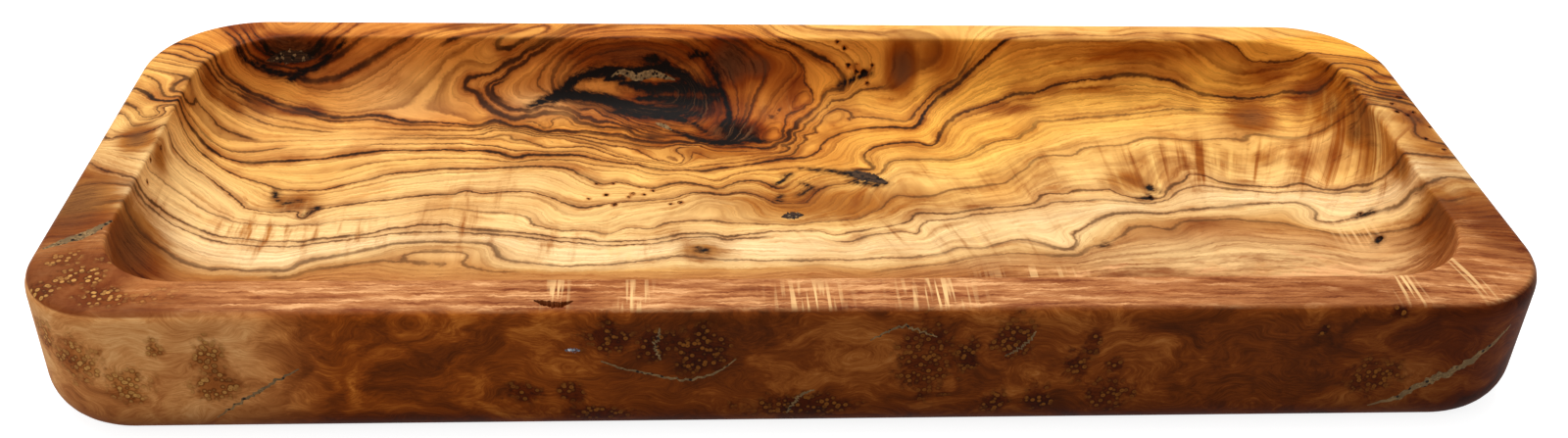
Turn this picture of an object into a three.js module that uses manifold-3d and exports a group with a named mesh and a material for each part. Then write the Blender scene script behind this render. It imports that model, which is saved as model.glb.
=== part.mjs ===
// A serving tray carved from one block of olive wood.
//
// The block is a rounded rectangle with a big round-over under its sides and a softened top arris.
// A routed hollow with coved walls leaves a flat rim. Knots, cracks and burl veins in the wood are
// filled flush with putty, and each fill is a piece of its own in a pocket of constant depth.
// Millimetres, +Z up, origin in the middle of the underside, +X along the tray, front face at -Y.
import * as THREE from 'three';
import Module from 'manifold-3d';
import { mergeVertices } from 'three/addons/utils/BufferGeometryUtils.js';

const wasm = await Module();
wasm.setup();

// The carved block
const LENGTH = 300;
const WIDTH = 122;
const HEIGHT = 30;
const OUTER_CORNERS = { backRight: 23, backLeft: 25, frontLeft: 20, frontRight: 22 };
const UNDER_ROUND_WIDTH = 6.5;
const UNDER_ROUND_HEIGHT = 8;
const TOP_ARRIS_WIDTH = 2;
const TOP_ARRIS_HEIGHT = 3;

// The hollow and the rim that it leaves
const END_RIM = 12.6;
const FRONT_RIM = 11.5;
const BACK_RIM = 9.2;
const HOLLOW_DEPTH = 17;
const COVE_RADIUS = 15;
const HOLLOW_ARRIS = 0.8;
const INNER_CORNERS = { backRight: 20.5, backLeft: 20.5, frontLeft: 17.5, frontRight: 20.5 };

// Fills, and the open split in the front rim
const FILL_DEPTH = 2.5;
const FILL_CLEARANCE = 0.3;
const SPLIT_DEPTH = 1.6;
const SPLIT_WIDTH = 2;
const TIP_WIDTH = 0.5;
// One step of the paths and widths below, which are read off the figure of the wood
const FIGURE_UNIT = 1;

// How finely the curves are stepped
const CORNER_STEPS = 10;
const ROUND_STEPS = 8;
const ARRIS_STEPS = 4;
const COVE_STEPS = 10;
const RIBBON_STEPS = 14;
const LEAST_RADIUS = 0.05;
const OVERSHOOT = 1;

// Lines that the pieces are measured from
const FLOOR = HEIGHT - HOLLOW_DEPTH;
const LEFT_END = -LENGTH / 2;
const RIGHT_END = LENGTH / 2;
const FRONT = -WIDTH / 2;
const BACK = WIDTH / 2;
const HOLLOW_FRONT = FRONT + FRONT_RIM;
const HOLLOW_BACK = BACK - BACK_RIM;
const HOLLOW_MIDDLE = (HOLLOW_FRONT + HOLLOW_BACK) / 2;

const BLOCK = { left: LEFT_END, right: RIGHT_END, front: FRONT, back: BACK };
const HOLLOW = {
  left: LEFT_END + END_RIM, right: RIGHT_END - END_RIM, front: HOLLOW_FRONT, back: HOLLOW_BACK,
};

const FINISHES = {
  wood: { color: 0xc98a45, roughness: 0.5, metalness: 0 },
  putty: { color: 0xa58a63, roughness: 0.8, metalness: 0 },
  bark: { color: 0x2c1c12, roughness: 0.75, metalness: 0 },
  knot: { color: 0x6b4526, roughness: 0.6, metalness: 0 },
  glaze: { color: 0x76797a, roughness: 0.25, metalness: 0 },
};

// Each fill lies along a path on one face of the tray and tapers towards both ends.
// Paths on the floor and the rim are (x, y) in plan, and on the back wall and the front (x, z).
const FILLS = [
  {
    name: 'knot_fill_main', face: 'backWall', finish: 'putty', width: 1.8, origin: [0, FLOOR],
    path: [[-41.6, 7.2], [-39, 8.3], [-35.2, 7.2], [-31.5, 7.9], [-28.6, 7.3], [-25.8, 6.6]],
  },
  {
    name: 'back_knot_core', face: 'backWall', finish: 'knot', width: 3.4, origin: [HOLLOW.left, HEIGHT],
    path: [[12.4, -5.7], [18, -5.3], [23.6, -5.7]],
  },
  {
    name: 'knot_fill_lower', face: 'floor', finish: 'putty', width: 1.5, origin: [0, HOLLOW_BACK],
    path: [[-30.6, -12.8], [-28.6, -13.9], [-26.6, -16]],
  },
  {
    name: 'floor_pin_knot', face: 'floor', finish: 'knot', width: 3, origin: [0, HOLLOW_MIDDLE],
    path: [[-1.9, -3.9], [0.7, -3.3], [3.3, -3]],
  },
  {
    name: 'floor_bark_pocket', face: 'floor', finish: 'bark', width: 4.2, origin: [0, HOLLOW_MIDDLE],
    path: [[14.4, 15.6], [18.6, 13.4], [23.6, 10.6]],
  },
  {
    name: 'rim_crack_fill', face: 'rim', finish: 'putty', width: 2.4, origin: [HOLLOW.left, FRONT],
    path: [[-10.4, 22], [-7.4, 24.4], [-4, 26.8], [-1.8, 29.6], [-0.2, 32.2]],
  },
  {
    name: 'front_pit_fill', face: 'front', finish: 'glaze', width: 1.8, origin: [0, HEIGHT],
    path: [[-46.2, -8.6], [-44.8, -8.5], [-43.4, -8.7]],
  },
  {
    name: 'vein_fill_upper', face: 'front', finish: 'putty', width: 1.3, origin: [0, HEIGHT],
    path: [[-28.3, -3.4], [-28.6, -5.8], [-29.3, -7.6], [-28.2, -11.1]],
  },
  {
    name: 'vein_fill_long', face: 'front', finish: 'putty', width: 1.3, origin: [0, 0],
    path: [[-39.6, 18.7], [-34.6, 16.6], [-29.9, 15.4], [-25.3, 14.1], [-20.4, 14.5], [-16.6, 16.4],
      [-13.8, 19]],
  },
  {
    name: 'vein_fill_right', face: 'front', finish: 'putty', width: 1.3, origin: [0, HEIGHT],
    path: [[11.8, -6.7], [14.8, -4.8], [17.9, -3.4], [21, -4.5], [24.6, -6]],
  },
  {
    name: 'vein_fill_foot', face: 'front', finish: 'putty', width: 1.5, origin: [0, 0],
    path: [[-3.6, 5], [-2.6, 7.4], [-0.9, 10], [1.6, 11.2]],
  },
  {
    name: 'vein_fill_eye', face: 'front', finish: 'putty', width: 1.2, origin: [0, HEIGHT],
    path: [[43.6, -4.8], [42.6, -7.1], [40.6, -9.2], [38.2, -10.8]],
  },
  {
    name: 'front_crack_fill', face: 'front', finish: 'putty', width: 1.6, origin: [LEFT_END, 0],
    path: [[36.6, 5.4], [40.6, 8.7], [45.2, 11.9], [48.8, 14.4], [53.7, 17.4]],
  },
  {
    name: 'corner_crack_fill', face: 'front', finish: 'putty', width: 3.2, origin: [RIGHT_END, 0],
    path: [[-36.5, 5.6], [-30.8, 8], [-26.4, 11.4], [-22.2, 14], [-18.2, 16.8], [-14.6, 19.6],
      [-10.6, 23.6]],
  },
];
const SPLIT_PATH = [[-52, 4.4], [-49.6, 3.4], [-47, 2.9], [-44.6, 4.1]];

// One closed ring of a rounded rectangle, counter-clockwise seen from above
function planRing(box, corners, inset, z) {
  const turns = [
    ['backRight', box.right, box.back, -1, -1],
    ['backLeft', box.left, box.back, 1, -1],
    ['frontLeft', box.left, box.front, 1, 1],
    ['frontRight', box.right, box.front, -1, 1],
  ];
  const ring = [];
  turns.forEach(([name, x, y, inwardX, inwardY], quarter) => {
    const radius = Math.max(corners[name] - inset, LEAST_RADIUS);
    const centreX = x + inwardX * (inset + radius);
    const centreY = y + inwardY * (inset + radius);
    for (let step = 0; step <= CORNER_STEPS; step += 1) {
      const angle = (quarter + step / CORNER_STEPS) * Math.PI / 2;
      ring.push([centreX + radius * Math.cos(angle), centreY + radius * Math.sin(angle), z]);
    }
  });
  return ring;
}

// Steps of a quarter turn, from 0 to a right angle
function quarterTurn(steps) {
  return Array.from({ length: steps + 1 }, (_, step) => step / steps * Math.PI / 2);
}

// Rings of the tray's section, from the underside out, up, over the rim and down to the floor.
// A skin above zero gives the same section shrunk inwards by that thickness on every face.
function sectionRings(skin) {
  const outside = (inset, z) => planRing(BLOCK, OUTER_CORNERS, inset, z);
  const inside = (inset, z) => planRing(HOLLOW, INNER_CORNERS, inset, z);
  const arrisWidth = Math.max(TOP_ARRIS_WIDTH - skin, LEAST_RADIUS);
  const arrisHeight = Math.max(TOP_ARRIS_HEIGHT - skin, LEAST_RADIUS);
  const lipRadius = Math.max(HOLLOW_ARRIS - skin, LEAST_RADIUS);
  const top = HEIGHT - skin;
  const underRound = quarterTurn(ROUND_STEPS).map((angle) => outside(
    UNDER_ROUND_WIDTH - (UNDER_ROUND_WIDTH - skin) * Math.sin(angle),
    UNDER_ROUND_HEIGHT - (UNDER_ROUND_HEIGHT - skin) * Math.cos(angle),
  ));
  const topArris = quarterTurn(ARRIS_STEPS).map((angle) => outside(
    skin + arrisWidth * (1 - Math.cos(angle)),
    top - arrisHeight * (1 - Math.sin(angle)),
  ));
  const lip = quarterTurn(ARRIS_STEPS).map((angle) => inside(
    -skin - lipRadius * (1 - Math.sin(angle)),
    top - lipRadius * (1 - Math.cos(angle)),
  ));
  const cove = quarterTurn(COVE_STEPS).map((angle) => inside(
    COVE_RADIUS - (COVE_RADIUS + skin) * Math.cos(angle),
    FLOOR + COVE_RADIUS - (COVE_RADIUS + skin) * Math.sin(angle),
  ));
  return [...underRound, ...topArris, ...lip, ...cove];
}

// Skin a stack of rings with the same point count and close both ends with a fan
function loftGeometry(rings) {
  const count = rings[0].length;
  const last = rings.length - 1;
  const points = rings.flat();
  const triangles = [];
  for (let row = 0; row < last; row += 1) {
    for (let column = 0; column < count; column += 1) {
      const next = (column + 1) % count;
      const here = row * count;
      const above = here + count;
      triangles.push(here + column, here + next, above + next);
      triangles.push(here + column, above + next, above + column);
    }
  }
  const underCentre = points.push([0, 0, rings[0][0][2]]) - 1;
  const floorCentre = points.push([0, HOLLOW_MIDDLE, rings[last][0][2]]) - 1;
  for (let column = 0; column < count; column += 1) {
    const next = (column + 1) % count;
    triangles.push(underCentre, next, column);
    triangles.push(floorCentre, last * count + column, last * count + next);
  }
  const geometry = new THREE.BufferGeometry();
  geometry.setAttribute('position', new THREE.Float32BufferAttribute(points.flat(), 3));
  geometry.setIndex(triangles);
  return geometry;
}

function toSolid(geometry) {
  const bare = geometry.clone();
  bare.deleteAttribute('normal');
  bare.deleteAttribute('uv');
  const merged = mergeVertices(bare);
  return new wasm.Manifold(new wasm.Mesh({
    numProp: 3,
    vertProperties: new Float32Array(merged.attributes.position.array),
    triVerts: new Uint32Array(merged.index.array),
  }));
}

function toMesh(solid, name, finish) {
  const { vertProperties, triVerts } = solid.getMesh();
  const geometry = new THREE.BufferGeometry();
  geometry.setAttribute('position', new THREE.BufferAttribute(new Float32Array(vertProperties), 3));
  geometry.setIndex(new THREE.BufferAttribute(new Uint32Array(triVerts), 1));
  geometry.computeVertexNormals();
  const mesh = new THREE.Mesh(geometry, new THREE.MeshStandardMaterial(FINISHES[finish]));
  mesh.name = name;
  return mesh;
}

// Flat outline of a crack: a spline with a width that swells in the middle
function ribbonShape(path, width, margin) {
  const spine = new THREE.SplineCurve(path.map(([across, up]) => new THREE.Vector2(across, up)));
  const leftSide = [];
  const rightSide = [];
  for (let step = 0; step <= RIBBON_STEPS; step += 1) {
    const along = step / RIBBON_STEPS;
    const point = spine.getPoint(along);
    const tangent = spine.getTangent(along);
    const swell = Math.sin(Math.PI * along);
    const half = (TIP_WIDTH + (width - TIP_WIDTH) * swell) / 2 + margin;
    const reach = margin * (2 * along - 1);
    point.addScaledVector(tangent, reach);
    const side = new THREE.Vector2(-tangent.y, tangent.x).multiplyScalar(half);
    leftSide.push(point.clone().add(side));
    rightSide.push(point.clone().sub(side));
  }
  return new THREE.Shape([...rightSide, ...leftSide.reverse()]);
}

// A plug through one face of the tray, wide enough to cut its pocket when a margin is given
function plugSolid(face, path, width, margin, depth) {
  const shape = ribbonShape(path, width, margin);
  const reaches = {
    floor: [FLOOR / 2, HEIGHT + OVERSHOOT],
    rim: [HEIGHT - depth, HEIGHT + OVERSHOOT],
    front: [FRONT - OVERSHOOT, FRONT + FRONT_RIM / 2],
    backWall: [HOLLOW_BACK - COVE_RADIUS, HOLLOW_BACK + BACK_RIM / 2],
  };
  const [start, end] = reaches[face];
  const geometry = new THREE.ExtrudeGeometry(shape, { depth: end - start, bevelEnabled: false });
  if (face === 'floor' || face === 'rim') {
    geometry.translate(0, 0, start);
  } else {
    geometry.rotateX(Math.PI / 2);
    geometry.translate(0, end, 0);
  }
  return toSolid(geometry);
}

function placedPath({ path, origin }) {
  return path.map(([across, up]) => [origin[0] + across * FIGURE_UNIT, origin[1] + up * FIGURE_UNIT]);
}

// The part of a fill's plug that lies in the tray's skin. A rim plug already ends at its depth.
function skinPlug(fill, margin, depth, core) {
  const plug = plugSolid(fill.face, placedPath(fill), fill.width * FIGURE_UNIT, margin, depth);
  return fill.face === 'rim' ? plug : plug.subtract(core);
}

const block = toSolid(loftGeometry(sectionRings(0)));
const pocketCore = toSolid(loftGeometry(sectionRings(FILL_DEPTH)));
const fillCore = toSolid(loftGeometry(sectionRings(FILL_DEPTH - FILL_CLEARANCE)));

const tray = new THREE.Group();
tray.name = 'olive_tray';

const splitPath = placedPath({ path: SPLIT_PATH, origin: [0, FRONT] });
let body = block.subtract(plugSolid('rim', splitPath, SPLIT_WIDTH, 0, SPLIT_DEPTH));
for (const fill of FILLS) {
  body = body.subtract(skinPlug(fill, FILL_CLEARANCE, FILL_DEPTH, pocketCore));
  const plug = skinPlug(fill, 0, FILL_DEPTH - FILL_CLEARANCE, fillCore);
  tray.add(toMesh(plug.intersect(block), fill.name, fill.finish));
}
tray.add(toMesh(body, 'tray_body', 'wood'));

export default tray;
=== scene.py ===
# %% [markdown]
# # A carved olive wood tray
# The tray is one block of olive wood with a routed hollow, a flat rim and putty-filled cracks.
# Its shape is simple, so nearly all of its look is the figure of the wood: dark growth lines that
# run the length of the hollow and bend round the knots, and burl with small eyes on the front face.
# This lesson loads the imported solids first, because every piece below takes its size from them.

# %% Load the frame and note its box
import math
import bmesh
import bpy
import numpy as np
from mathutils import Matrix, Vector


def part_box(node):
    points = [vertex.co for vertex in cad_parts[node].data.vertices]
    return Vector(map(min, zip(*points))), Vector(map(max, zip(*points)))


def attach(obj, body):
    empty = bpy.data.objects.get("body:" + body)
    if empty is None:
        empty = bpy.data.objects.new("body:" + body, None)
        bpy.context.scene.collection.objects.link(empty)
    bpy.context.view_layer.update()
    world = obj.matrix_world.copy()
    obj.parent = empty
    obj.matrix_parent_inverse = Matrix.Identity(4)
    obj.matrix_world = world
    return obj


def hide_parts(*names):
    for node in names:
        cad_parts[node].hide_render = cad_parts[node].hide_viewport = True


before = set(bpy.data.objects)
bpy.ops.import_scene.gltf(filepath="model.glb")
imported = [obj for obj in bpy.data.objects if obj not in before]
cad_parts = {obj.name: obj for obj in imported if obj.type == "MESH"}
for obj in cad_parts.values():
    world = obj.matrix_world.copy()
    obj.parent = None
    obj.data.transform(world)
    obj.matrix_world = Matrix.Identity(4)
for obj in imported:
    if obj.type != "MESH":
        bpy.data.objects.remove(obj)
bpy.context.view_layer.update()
MM = 0.001
tray_low, tray_high = (np.array(corner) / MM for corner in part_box("tray_body"))
LENGTH, WIDTH, HEIGHT = tray_high - tray_low
print("tray body, mm:", round(LENGTH, 1), round(WIDTH, 1), round(HEIGHT, 1))

# %% [markdown]
# ## Camera
# The photograph looks along the tray from above its front side, with a moderately wide lens, so the
# front edge is clearly larger than the back one. The camera's place and turn were worked out from the
# corners of the rim. A matrix of right, up and backward directions places it without any constraint.

# %% Camera
PICTURE_WIDTH = 1600
FOCAL_PIXELS = 1616.0
SENSOR_WIDTH = 36.0
NEAREST_SEEN = 0.01
CAMERA_PLACE = np.array((-23.7, -298.8, 209.0))
PITCH, YAW, ROLL = np.radians((33.5, 4.34, -2.25))


def place_object(name, data):
    """A new object at the origin, in the scene"""
    thing = bpy.data.objects.new(name, data)
    bpy.context.scene.collection.objects.link(thing)
    return thing


def camera_axes():
    """Right, down and forward directions of the photograph's camera"""
    forward = np.array((math.sin(YAW), math.cos(YAW), 0.0)) * math.cos(PITCH)
    forward[2] = -math.sin(PITCH)
    level_right = np.array((math.cos(YAW), -math.sin(YAW), 0.0))
    level_down = np.cross(forward, level_right)
    right = math.cos(ROLL) * level_right + math.sin(ROLL) * level_down
    down = -math.sin(ROLL) * level_right + math.cos(ROLL) * level_down
    return right, down, forward


lens = bpy.data.cameras.new("photo_camera")
lens.sensor_fit = "HORIZONTAL"
lens.sensor_width = SENSOR_WIDTH
lens.lens = SENSOR_WIDTH * FOCAL_PIXELS / PICTURE_WIDTH
lens.clip_start = NEAREST_SEEN
camera = place_object("photo_camera", lens)
right, down, forward = camera_axes()
pose = np.eye(4)
pose[:3] = np.column_stack((right, -down, -forward, CAMERA_PLACE * MM))
camera.matrix_world = pose.T.tolist()
bpy.context.scene.camera = camera
print("lens:", round(lens.lens, 2), "mm")

# %% [markdown]
# ## Node helpers
# The floor's paper, the tray, the fills, the pinholes and all finishes are node trees. They could be
# wired by hand in Blender's editors, but a script can be read, changed and run again. These short
# helpers add one node at a time, so that a tree below reads as a list of steps.

# %% Helpers for node trees


def label(name):
    return name.replace("_", " ").capitalize()


def add_node(kind, inputs=(), tree=None, **settings):
    """One node; inputs are sockets to link or plain values, by name or number

    The tree is that of the linked sockets, and is given only where there are none.
    """
    inputs = dict(inputs)
    linked = {name: value for name, value in inputs.items() if isinstance(value, bpy.types.NodeSocket)}
    if tree is None:
        tree = next(iter(linked.values())).id_data
    node = tree.nodes.new(kind)
    for name, value in settings.items():
        setattr(node, name, value)
    for name, value in inputs.items():
        if name in linked:
            tree.links.new(value, node.inputs[name])
        else:
            node.inputs[name].default_value = value
    return node


def link(source, target):
    source.id_data.links.new(source, target)


def new_tree(name, kind, inputs, outputs):
    """An empty tree with named sockets; gives the tree, what comes in and what goes out"""
    tree = bpy.data.node_groups.new(name, kind + "NodeTree")
    for way, sockets in (("INPUT", inputs), ("OUTPUT", outputs)):
        for key, value in sockets.items():
            tree.interface.new_socket(label(key), in_out=way, socket_type="NodeSocket" + value)
    return tree, tree.nodes.new("NodeGroupInput").outputs, tree.nodes.new("NodeGroupOutput").inputs


# %% Sums of numbers and of vectors


def calc(operation, *values):
    return add_node("ShaderNodeMath", enumerate(values), operation=operation).outputs[0]


def plus(first, second):
    return calc("ADD", first, second)


def minus(first, second):
    return calc("SUBTRACT", first, second)


def times(first, second):
    return calc("MULTIPLY", first, second)


def fit(value, factor, offset):
    """Value times a factor, plus an offset"""
    return calc("MULTIPLY_ADD", value, factor, offset)


def flip(share):
    """One minus a share"""
    return calc("SUBTRACT", 1.0, share)


def vector_calc(operation, *values):
    return add_node("ShaderNodeVectorMath", enumerate(values), operation=operation).outputs["Vector"]


def scaled(vector, factor):
    node = add_node("ShaderNodeVectorMath", {0: vector, "Scale": factor}, operation="SCALE")
    return node.outputs["Vector"]


def parts_of(vector):
    return add_node("ShaderNodeSeparateXYZ", {0: vector}).outputs


def combine(x=0.0, y=0.0, z=0.0):
    return add_node("ShaderNodeCombineXYZ", {"X": x, "Y": y, "Z": z}).outputs[0]


# %% [markdown]
# ## Floor and light
# The tray stands on a plain pale floor. The hollow's back wall and the front face are the dark sides in
# the photograph, so the key light is a broad panel above and behind the tray, and a weaker panel from
# the left and an even pale sky fill the shade. The paper glows a little towards the camera, so that the
# background is white without more light on the wood, and it still takes the tray's shadow.

# %% Floor
FLOOR_SIZE = 6.0
FLOOR_GLOW = 0.85
PAPER_GREY, PAPER_ROUGHNESS = 0.5, 0.9
WHITE = (1.0, 1.0, 1.0, 1.0)


def new_mesh_object(name, vertices, faces=(), edges=()):
    """An object at the origin from points in metres"""
    mesh = bpy.data.meshes.new(name)
    mesh.from_pydata([tuple(v) for v in vertices], edges, faces)
    mesh.update()
    return place_object(name, mesh)


def white_paper():
    paper = bpy.data.materials.new("white_paper")
    paper.use_nodes = True
    tree = paper.node_tree
    rays = add_node("ShaderNodeLightPath", tree=tree).outputs
    seen = calc("MAXIMUM", rays["Is Camera Ray"], rays["Is Glossy Ray"])
    seen = calc("MAXIMUM", seen, rays["Is Transmission Ray"])
    look = tree.nodes["Principled BSDF"].inputs
    look["Base Color"].default_value = (PAPER_GREY, PAPER_GREY, PAPER_GREY, 1.0)
    look["Roughness"].default_value = PAPER_ROUGHNESS
    look["Emission Color"].default_value = WHITE
    link(times(seen, FLOOR_GLOW), look["Emission Strength"])
    return paper


half = FLOOR_SIZE / 2
floor = new_mesh_object(
    "floor", [(-half, -half, 0), (half, -half, 0), (half, half, 0), (-half, half, 0)], [(0, 1, 2, 3)])
floor.data.materials.append(white_paper())
print("floor:", FLOOR_SIZE, "m wide")

# %% Lamps and sky
KEY_PLACE, KEY_SIZE, KEY_POWER = (-0.1, 0.3, 0.95), (1.0, 0.7), 11.0
SIDE_PLACE, SIDE_SIZE, SIDE_POWER = (-0.9, -0.5, 0.6), (0.6, 0.6), 1.5
SKY_STRENGTH = 0.42


def panel_lamp(name, place, size, power):
    """A soft flat lamp aimed at the middle of the tray's foot"""
    data = bpy.data.lights.new(name, "AREA")
    data.shape = "RECTANGLE"
    data.size, data.size_y = size
    data.energy = power
    lamp = place_object(name, data)
    lamp.location = place
    aim = -np.array(place)
    tilt = math.acos(-aim[2] / np.linalg.norm(aim))
    lamp.rotation_euler = (tilt, 0.0, math.atan2(aim[1], aim[0]) - math.pi / 2)


panel_lamp("key_panel", KEY_PLACE, KEY_SIZE, KEY_POWER)
panel_lamp("side_panel", SIDE_PLACE, SIDE_SIZE, SIDE_POWER)
sky = bpy.data.worlds.new("pale_sky")
sky.use_nodes = True
sky_light = sky.node_tree.nodes["Background"].inputs
sky_light["Color"].default_value = WHITE
sky_light["Strength"].default_value = SKY_STRENGTH
bpy.context.scene.world = sky
bpy.context.scene.view_settings.view_transform = "Standard"

# %% [markdown]
# ## The carved form
# A router carves such a tray: one pass follows the block's outline and one the hollow's. It could be
# modelled by cutting one rounded box out of another, but that leaves few points on the faces. Here a
# section of simple curves (flat underside, round-over, wall, arris, flat rim, lip, cove, floor) is
# carried round two outlines, as the router does. The node tree below takes each point's column from the
# outlines and its row from the section. The points are close, because the wood's figure is stored on them.

# %% Sizes of the form, in millimetres
OUTER_CORNERS = (23.0, 25.0, 20.0, 22.0)
INNER_CORNERS = (20.5, 20.5, 17.5, 20.5)
END_RIM, FRONT_RIM, BACK_RIM = 12.6, 11.5, 9.2
UNDER_ROUND = (6.5, 8.0)
TOP_ARRIS = (2.0, 3.0)
HOLLOW_DEPTH, COVE_RADIUS, LIP_RADIUS = 17.0, 15.0, 0.8
FLOOR_LEVEL = HEIGHT - HOLLOW_DEPTH
BLOCK = (-LENGTH / 2, LENGTH / 2, -WIDTH / 2, WIDTH / 2)
HOLLOW = (BLOCK[0] + END_RIM, BLOCK[1] - END_RIM, BLOCK[2] + FRONT_RIM, BLOCK[3] - BACK_RIM)
QUARTER = math.pi / 2
print("hollow, mm:", [round(edge, 1) for edge in HOLLOW])

# %% The two outlines in plan
ARC_COLUMNS, LONG_COLUMNS, SHORT_COLUMNS = 24, 230, 68
SMALLEST_RADIUS = 0.05


def plan_ring(box, corners, inset):
    """Points of a rounded rectangle, counter-clockwise from its right side"""
    left, right_side, front, back = box
    places = ((right_side, back), (left, back), (left, front), (right_side, front))
    inward = ((-1, -1), (1, -1), (1, 1), (-1, 1))
    arcs = []
    for quarter in range(4):
        radius = max(corners[quarter] - inset, SMALLEST_RADIUS)
        centre = np.array(places[quarter]) + np.array(inward[quarter]) * (inset + radius)
        angle = (quarter + np.arange(ARC_COLUMNS + 1) / ARC_COLUMNS) * QUARTER
        arcs.append(centre + radius * np.column_stack((np.cos(angle), np.sin(angle))))
    ring = []
    for quarter in range(4):
        columns = (LONG_COLUMNS, SHORT_COLUMNS)[quarter % 2]
        along = np.arange(columns)[:, None] / columns
        start, end = arcs[quarter][-1], arcs[(quarter + 1) % 4][0]
        ring += [arcs[quarter][:-1], start + (end - start) * along]
    return np.concatenate(ring)


def middle_line(box):
    """The line that a ring closes to: one point of it for each column"""
    left, right_side, front, back = box
    reach = (right_side - left) / 2 - (back - front) / 2
    along = np.arange(LONG_COLUMNS) / LONG_COLUMNS * 2 * reach - reach
    arc, side = np.full(ARC_COLUMNS, reach), np.full(SHORT_COLUMNS, reach)
    x = np.concatenate((arc, -along, -arc, -side, -arc, along, arc, side))
    return np.column_stack((x, np.full(len(x), (front + back) / 2)))


def at_height(places, z):
    return np.column_stack((places, np.full(len(places), z)))


def store(piece, name, values):
    """Keep a number or a vector on each point of a piece"""
    kind, key = ("FLOAT", "value") if values.ndim == 1 else ("FLOAT_VECTOR", "vector")
    layer = piece.data.attributes.new(name, kind, "POINT")
    layer.data.foreach_set(key, values.astype(np.float32).ravel())


def outline(name, box, corners):
    """Points of an outline, each with its way inward and its place on the middle line"""
    edge = plan_ring(box, corners, 0.0)
    piece = new_mesh_object(name, at_height(edge, 0.0) * MM)
    store(piece, "inward", at_height(plan_ring(box, corners, 1.0) - edge, 0.0))
    store(piece, "middle", at_height(middle_line(box), 0.0) * MM)
    return piece


# %% Steps of the section: side (0 block, 1 hollow), inset, height, share of the way to the middle line
UNDER_ROWS, ROUND_ROWS, WALL_ROWS, ARRIS_ROWS = 12, 10, 14, 5
RIM_ROWS, LIP_ROWS, COVE_ROWS, FLOOR_ROWS = 10, 4, 24, 46


def curve(rows, side, inset, height):
    """A quarter turn of the section; inset and height are functions of the angle"""
    angles = np.arange(rows + 1) / rows * math.pi / 2
    return [np.array((side, inset(a), height(a), 0.0)) for a in angles]


def between(first, last, rows):
    """Steps between two steps, without the two themselves"""
    return [first + (last - first) * step / rows for step in range(1, rows)]


def section_steps():
    wide, high = UNDER_ROUND
    under = curve(
        ROUND_ROWS, 0, lambda a: wide - wide * math.sin(a), lambda a: high - high * math.cos(a))
    width, drop = TOP_ARRIS
    arris = curve(
        ARRIS_ROWS, 0, lambda a: width - width * math.cos(a), lambda a: HEIGHT - drop + drop * math.sin(a))
    lip = curve(
        LIP_ROWS, 1, lambda a: LIP_RADIUS * (math.sin(a) - 1),
        lambda a: HEIGHT - LIP_RADIUS * (1 - math.cos(a)))
    cove = curve(
        COVE_ROWS, 1, lambda a: COVE_RADIUS * (1 - math.cos(a)),
        lambda a: FLOOR_LEVEL + COVE_RADIUS * (1 - math.sin(a)))
    under_middle = under[0] + (0, 0, 0, 1)
    floor_middle = cove[-1] + (0, 0, 0, 1)
    steps = [under_middle] + between(under_middle, under[0], UNDER_ROWS) + under
    steps += between(under[-1], arris[0], WALL_ROWS) + arris
    steps += between(arris[-1], lip[0], RIM_ROWS) + lip + cove
    return np.array(steps + between(cove[-1], floor_middle, FLOOR_ROWS) + [floor_middle])


def section_piece(steps):
    side, inset, height, close = steps.T
    piece = new_mesh_object("section", np.column_stack((inset, 0 * inset, height)) * MM)
    store(piece, "side", side)
    store(piece, "close", close)
    return piece


# %% Tree that carries the section round the outlines
MERGE_GAP = 1e-7


def pick(geometry, index, name=None, kind="FLOAT_VECTOR"):
    """A point's place, or a value stored on it, by the point's number"""
    tree = geometry.id_data
    if name is None:
        value = add_node("GeometryNodeInputPosition", tree=tree).outputs[0]
    else:
        named = add_node("GeometryNodeInputNamedAttribute", {"Name": name}, tree, data_type=kind)
        value = named.outputs[0]
    found = {"Geometry": geometry, "Value": value, "Index": index}
    return add_node("GeometryNodeSampleIndex", found, data_type=kind).outputs[0]


def blend(share, first, second):
    node = add_node("ShaderNodeMix", {0: share, 4: first, 5: second}, data_type="VECTOR")
    return node.outputs[1]


def object_mesh(thing):
    return add_node("GeometryNodeObjectInfo", {"Object": thing}).outputs["Geometry"]


def moved_grid(grid, spot):
    node = add_node("GeometryNodeSetPosition", {"Geometry": grid.outputs["Mesh"], "Position": spot})
    return node.outputs[0]


def leave_solid(geometry, finish, leave):
    """The end of every tree: real faces with their finish"""
    real = add_node("GeometryNodeRealizeInstances", {"Geometry": geometry})
    painted = add_node("GeometryNodeSetMaterial", {"Geometry": real.outputs[0], "Material": finish})
    link(painted.outputs[0], leave["Solid"])


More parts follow.
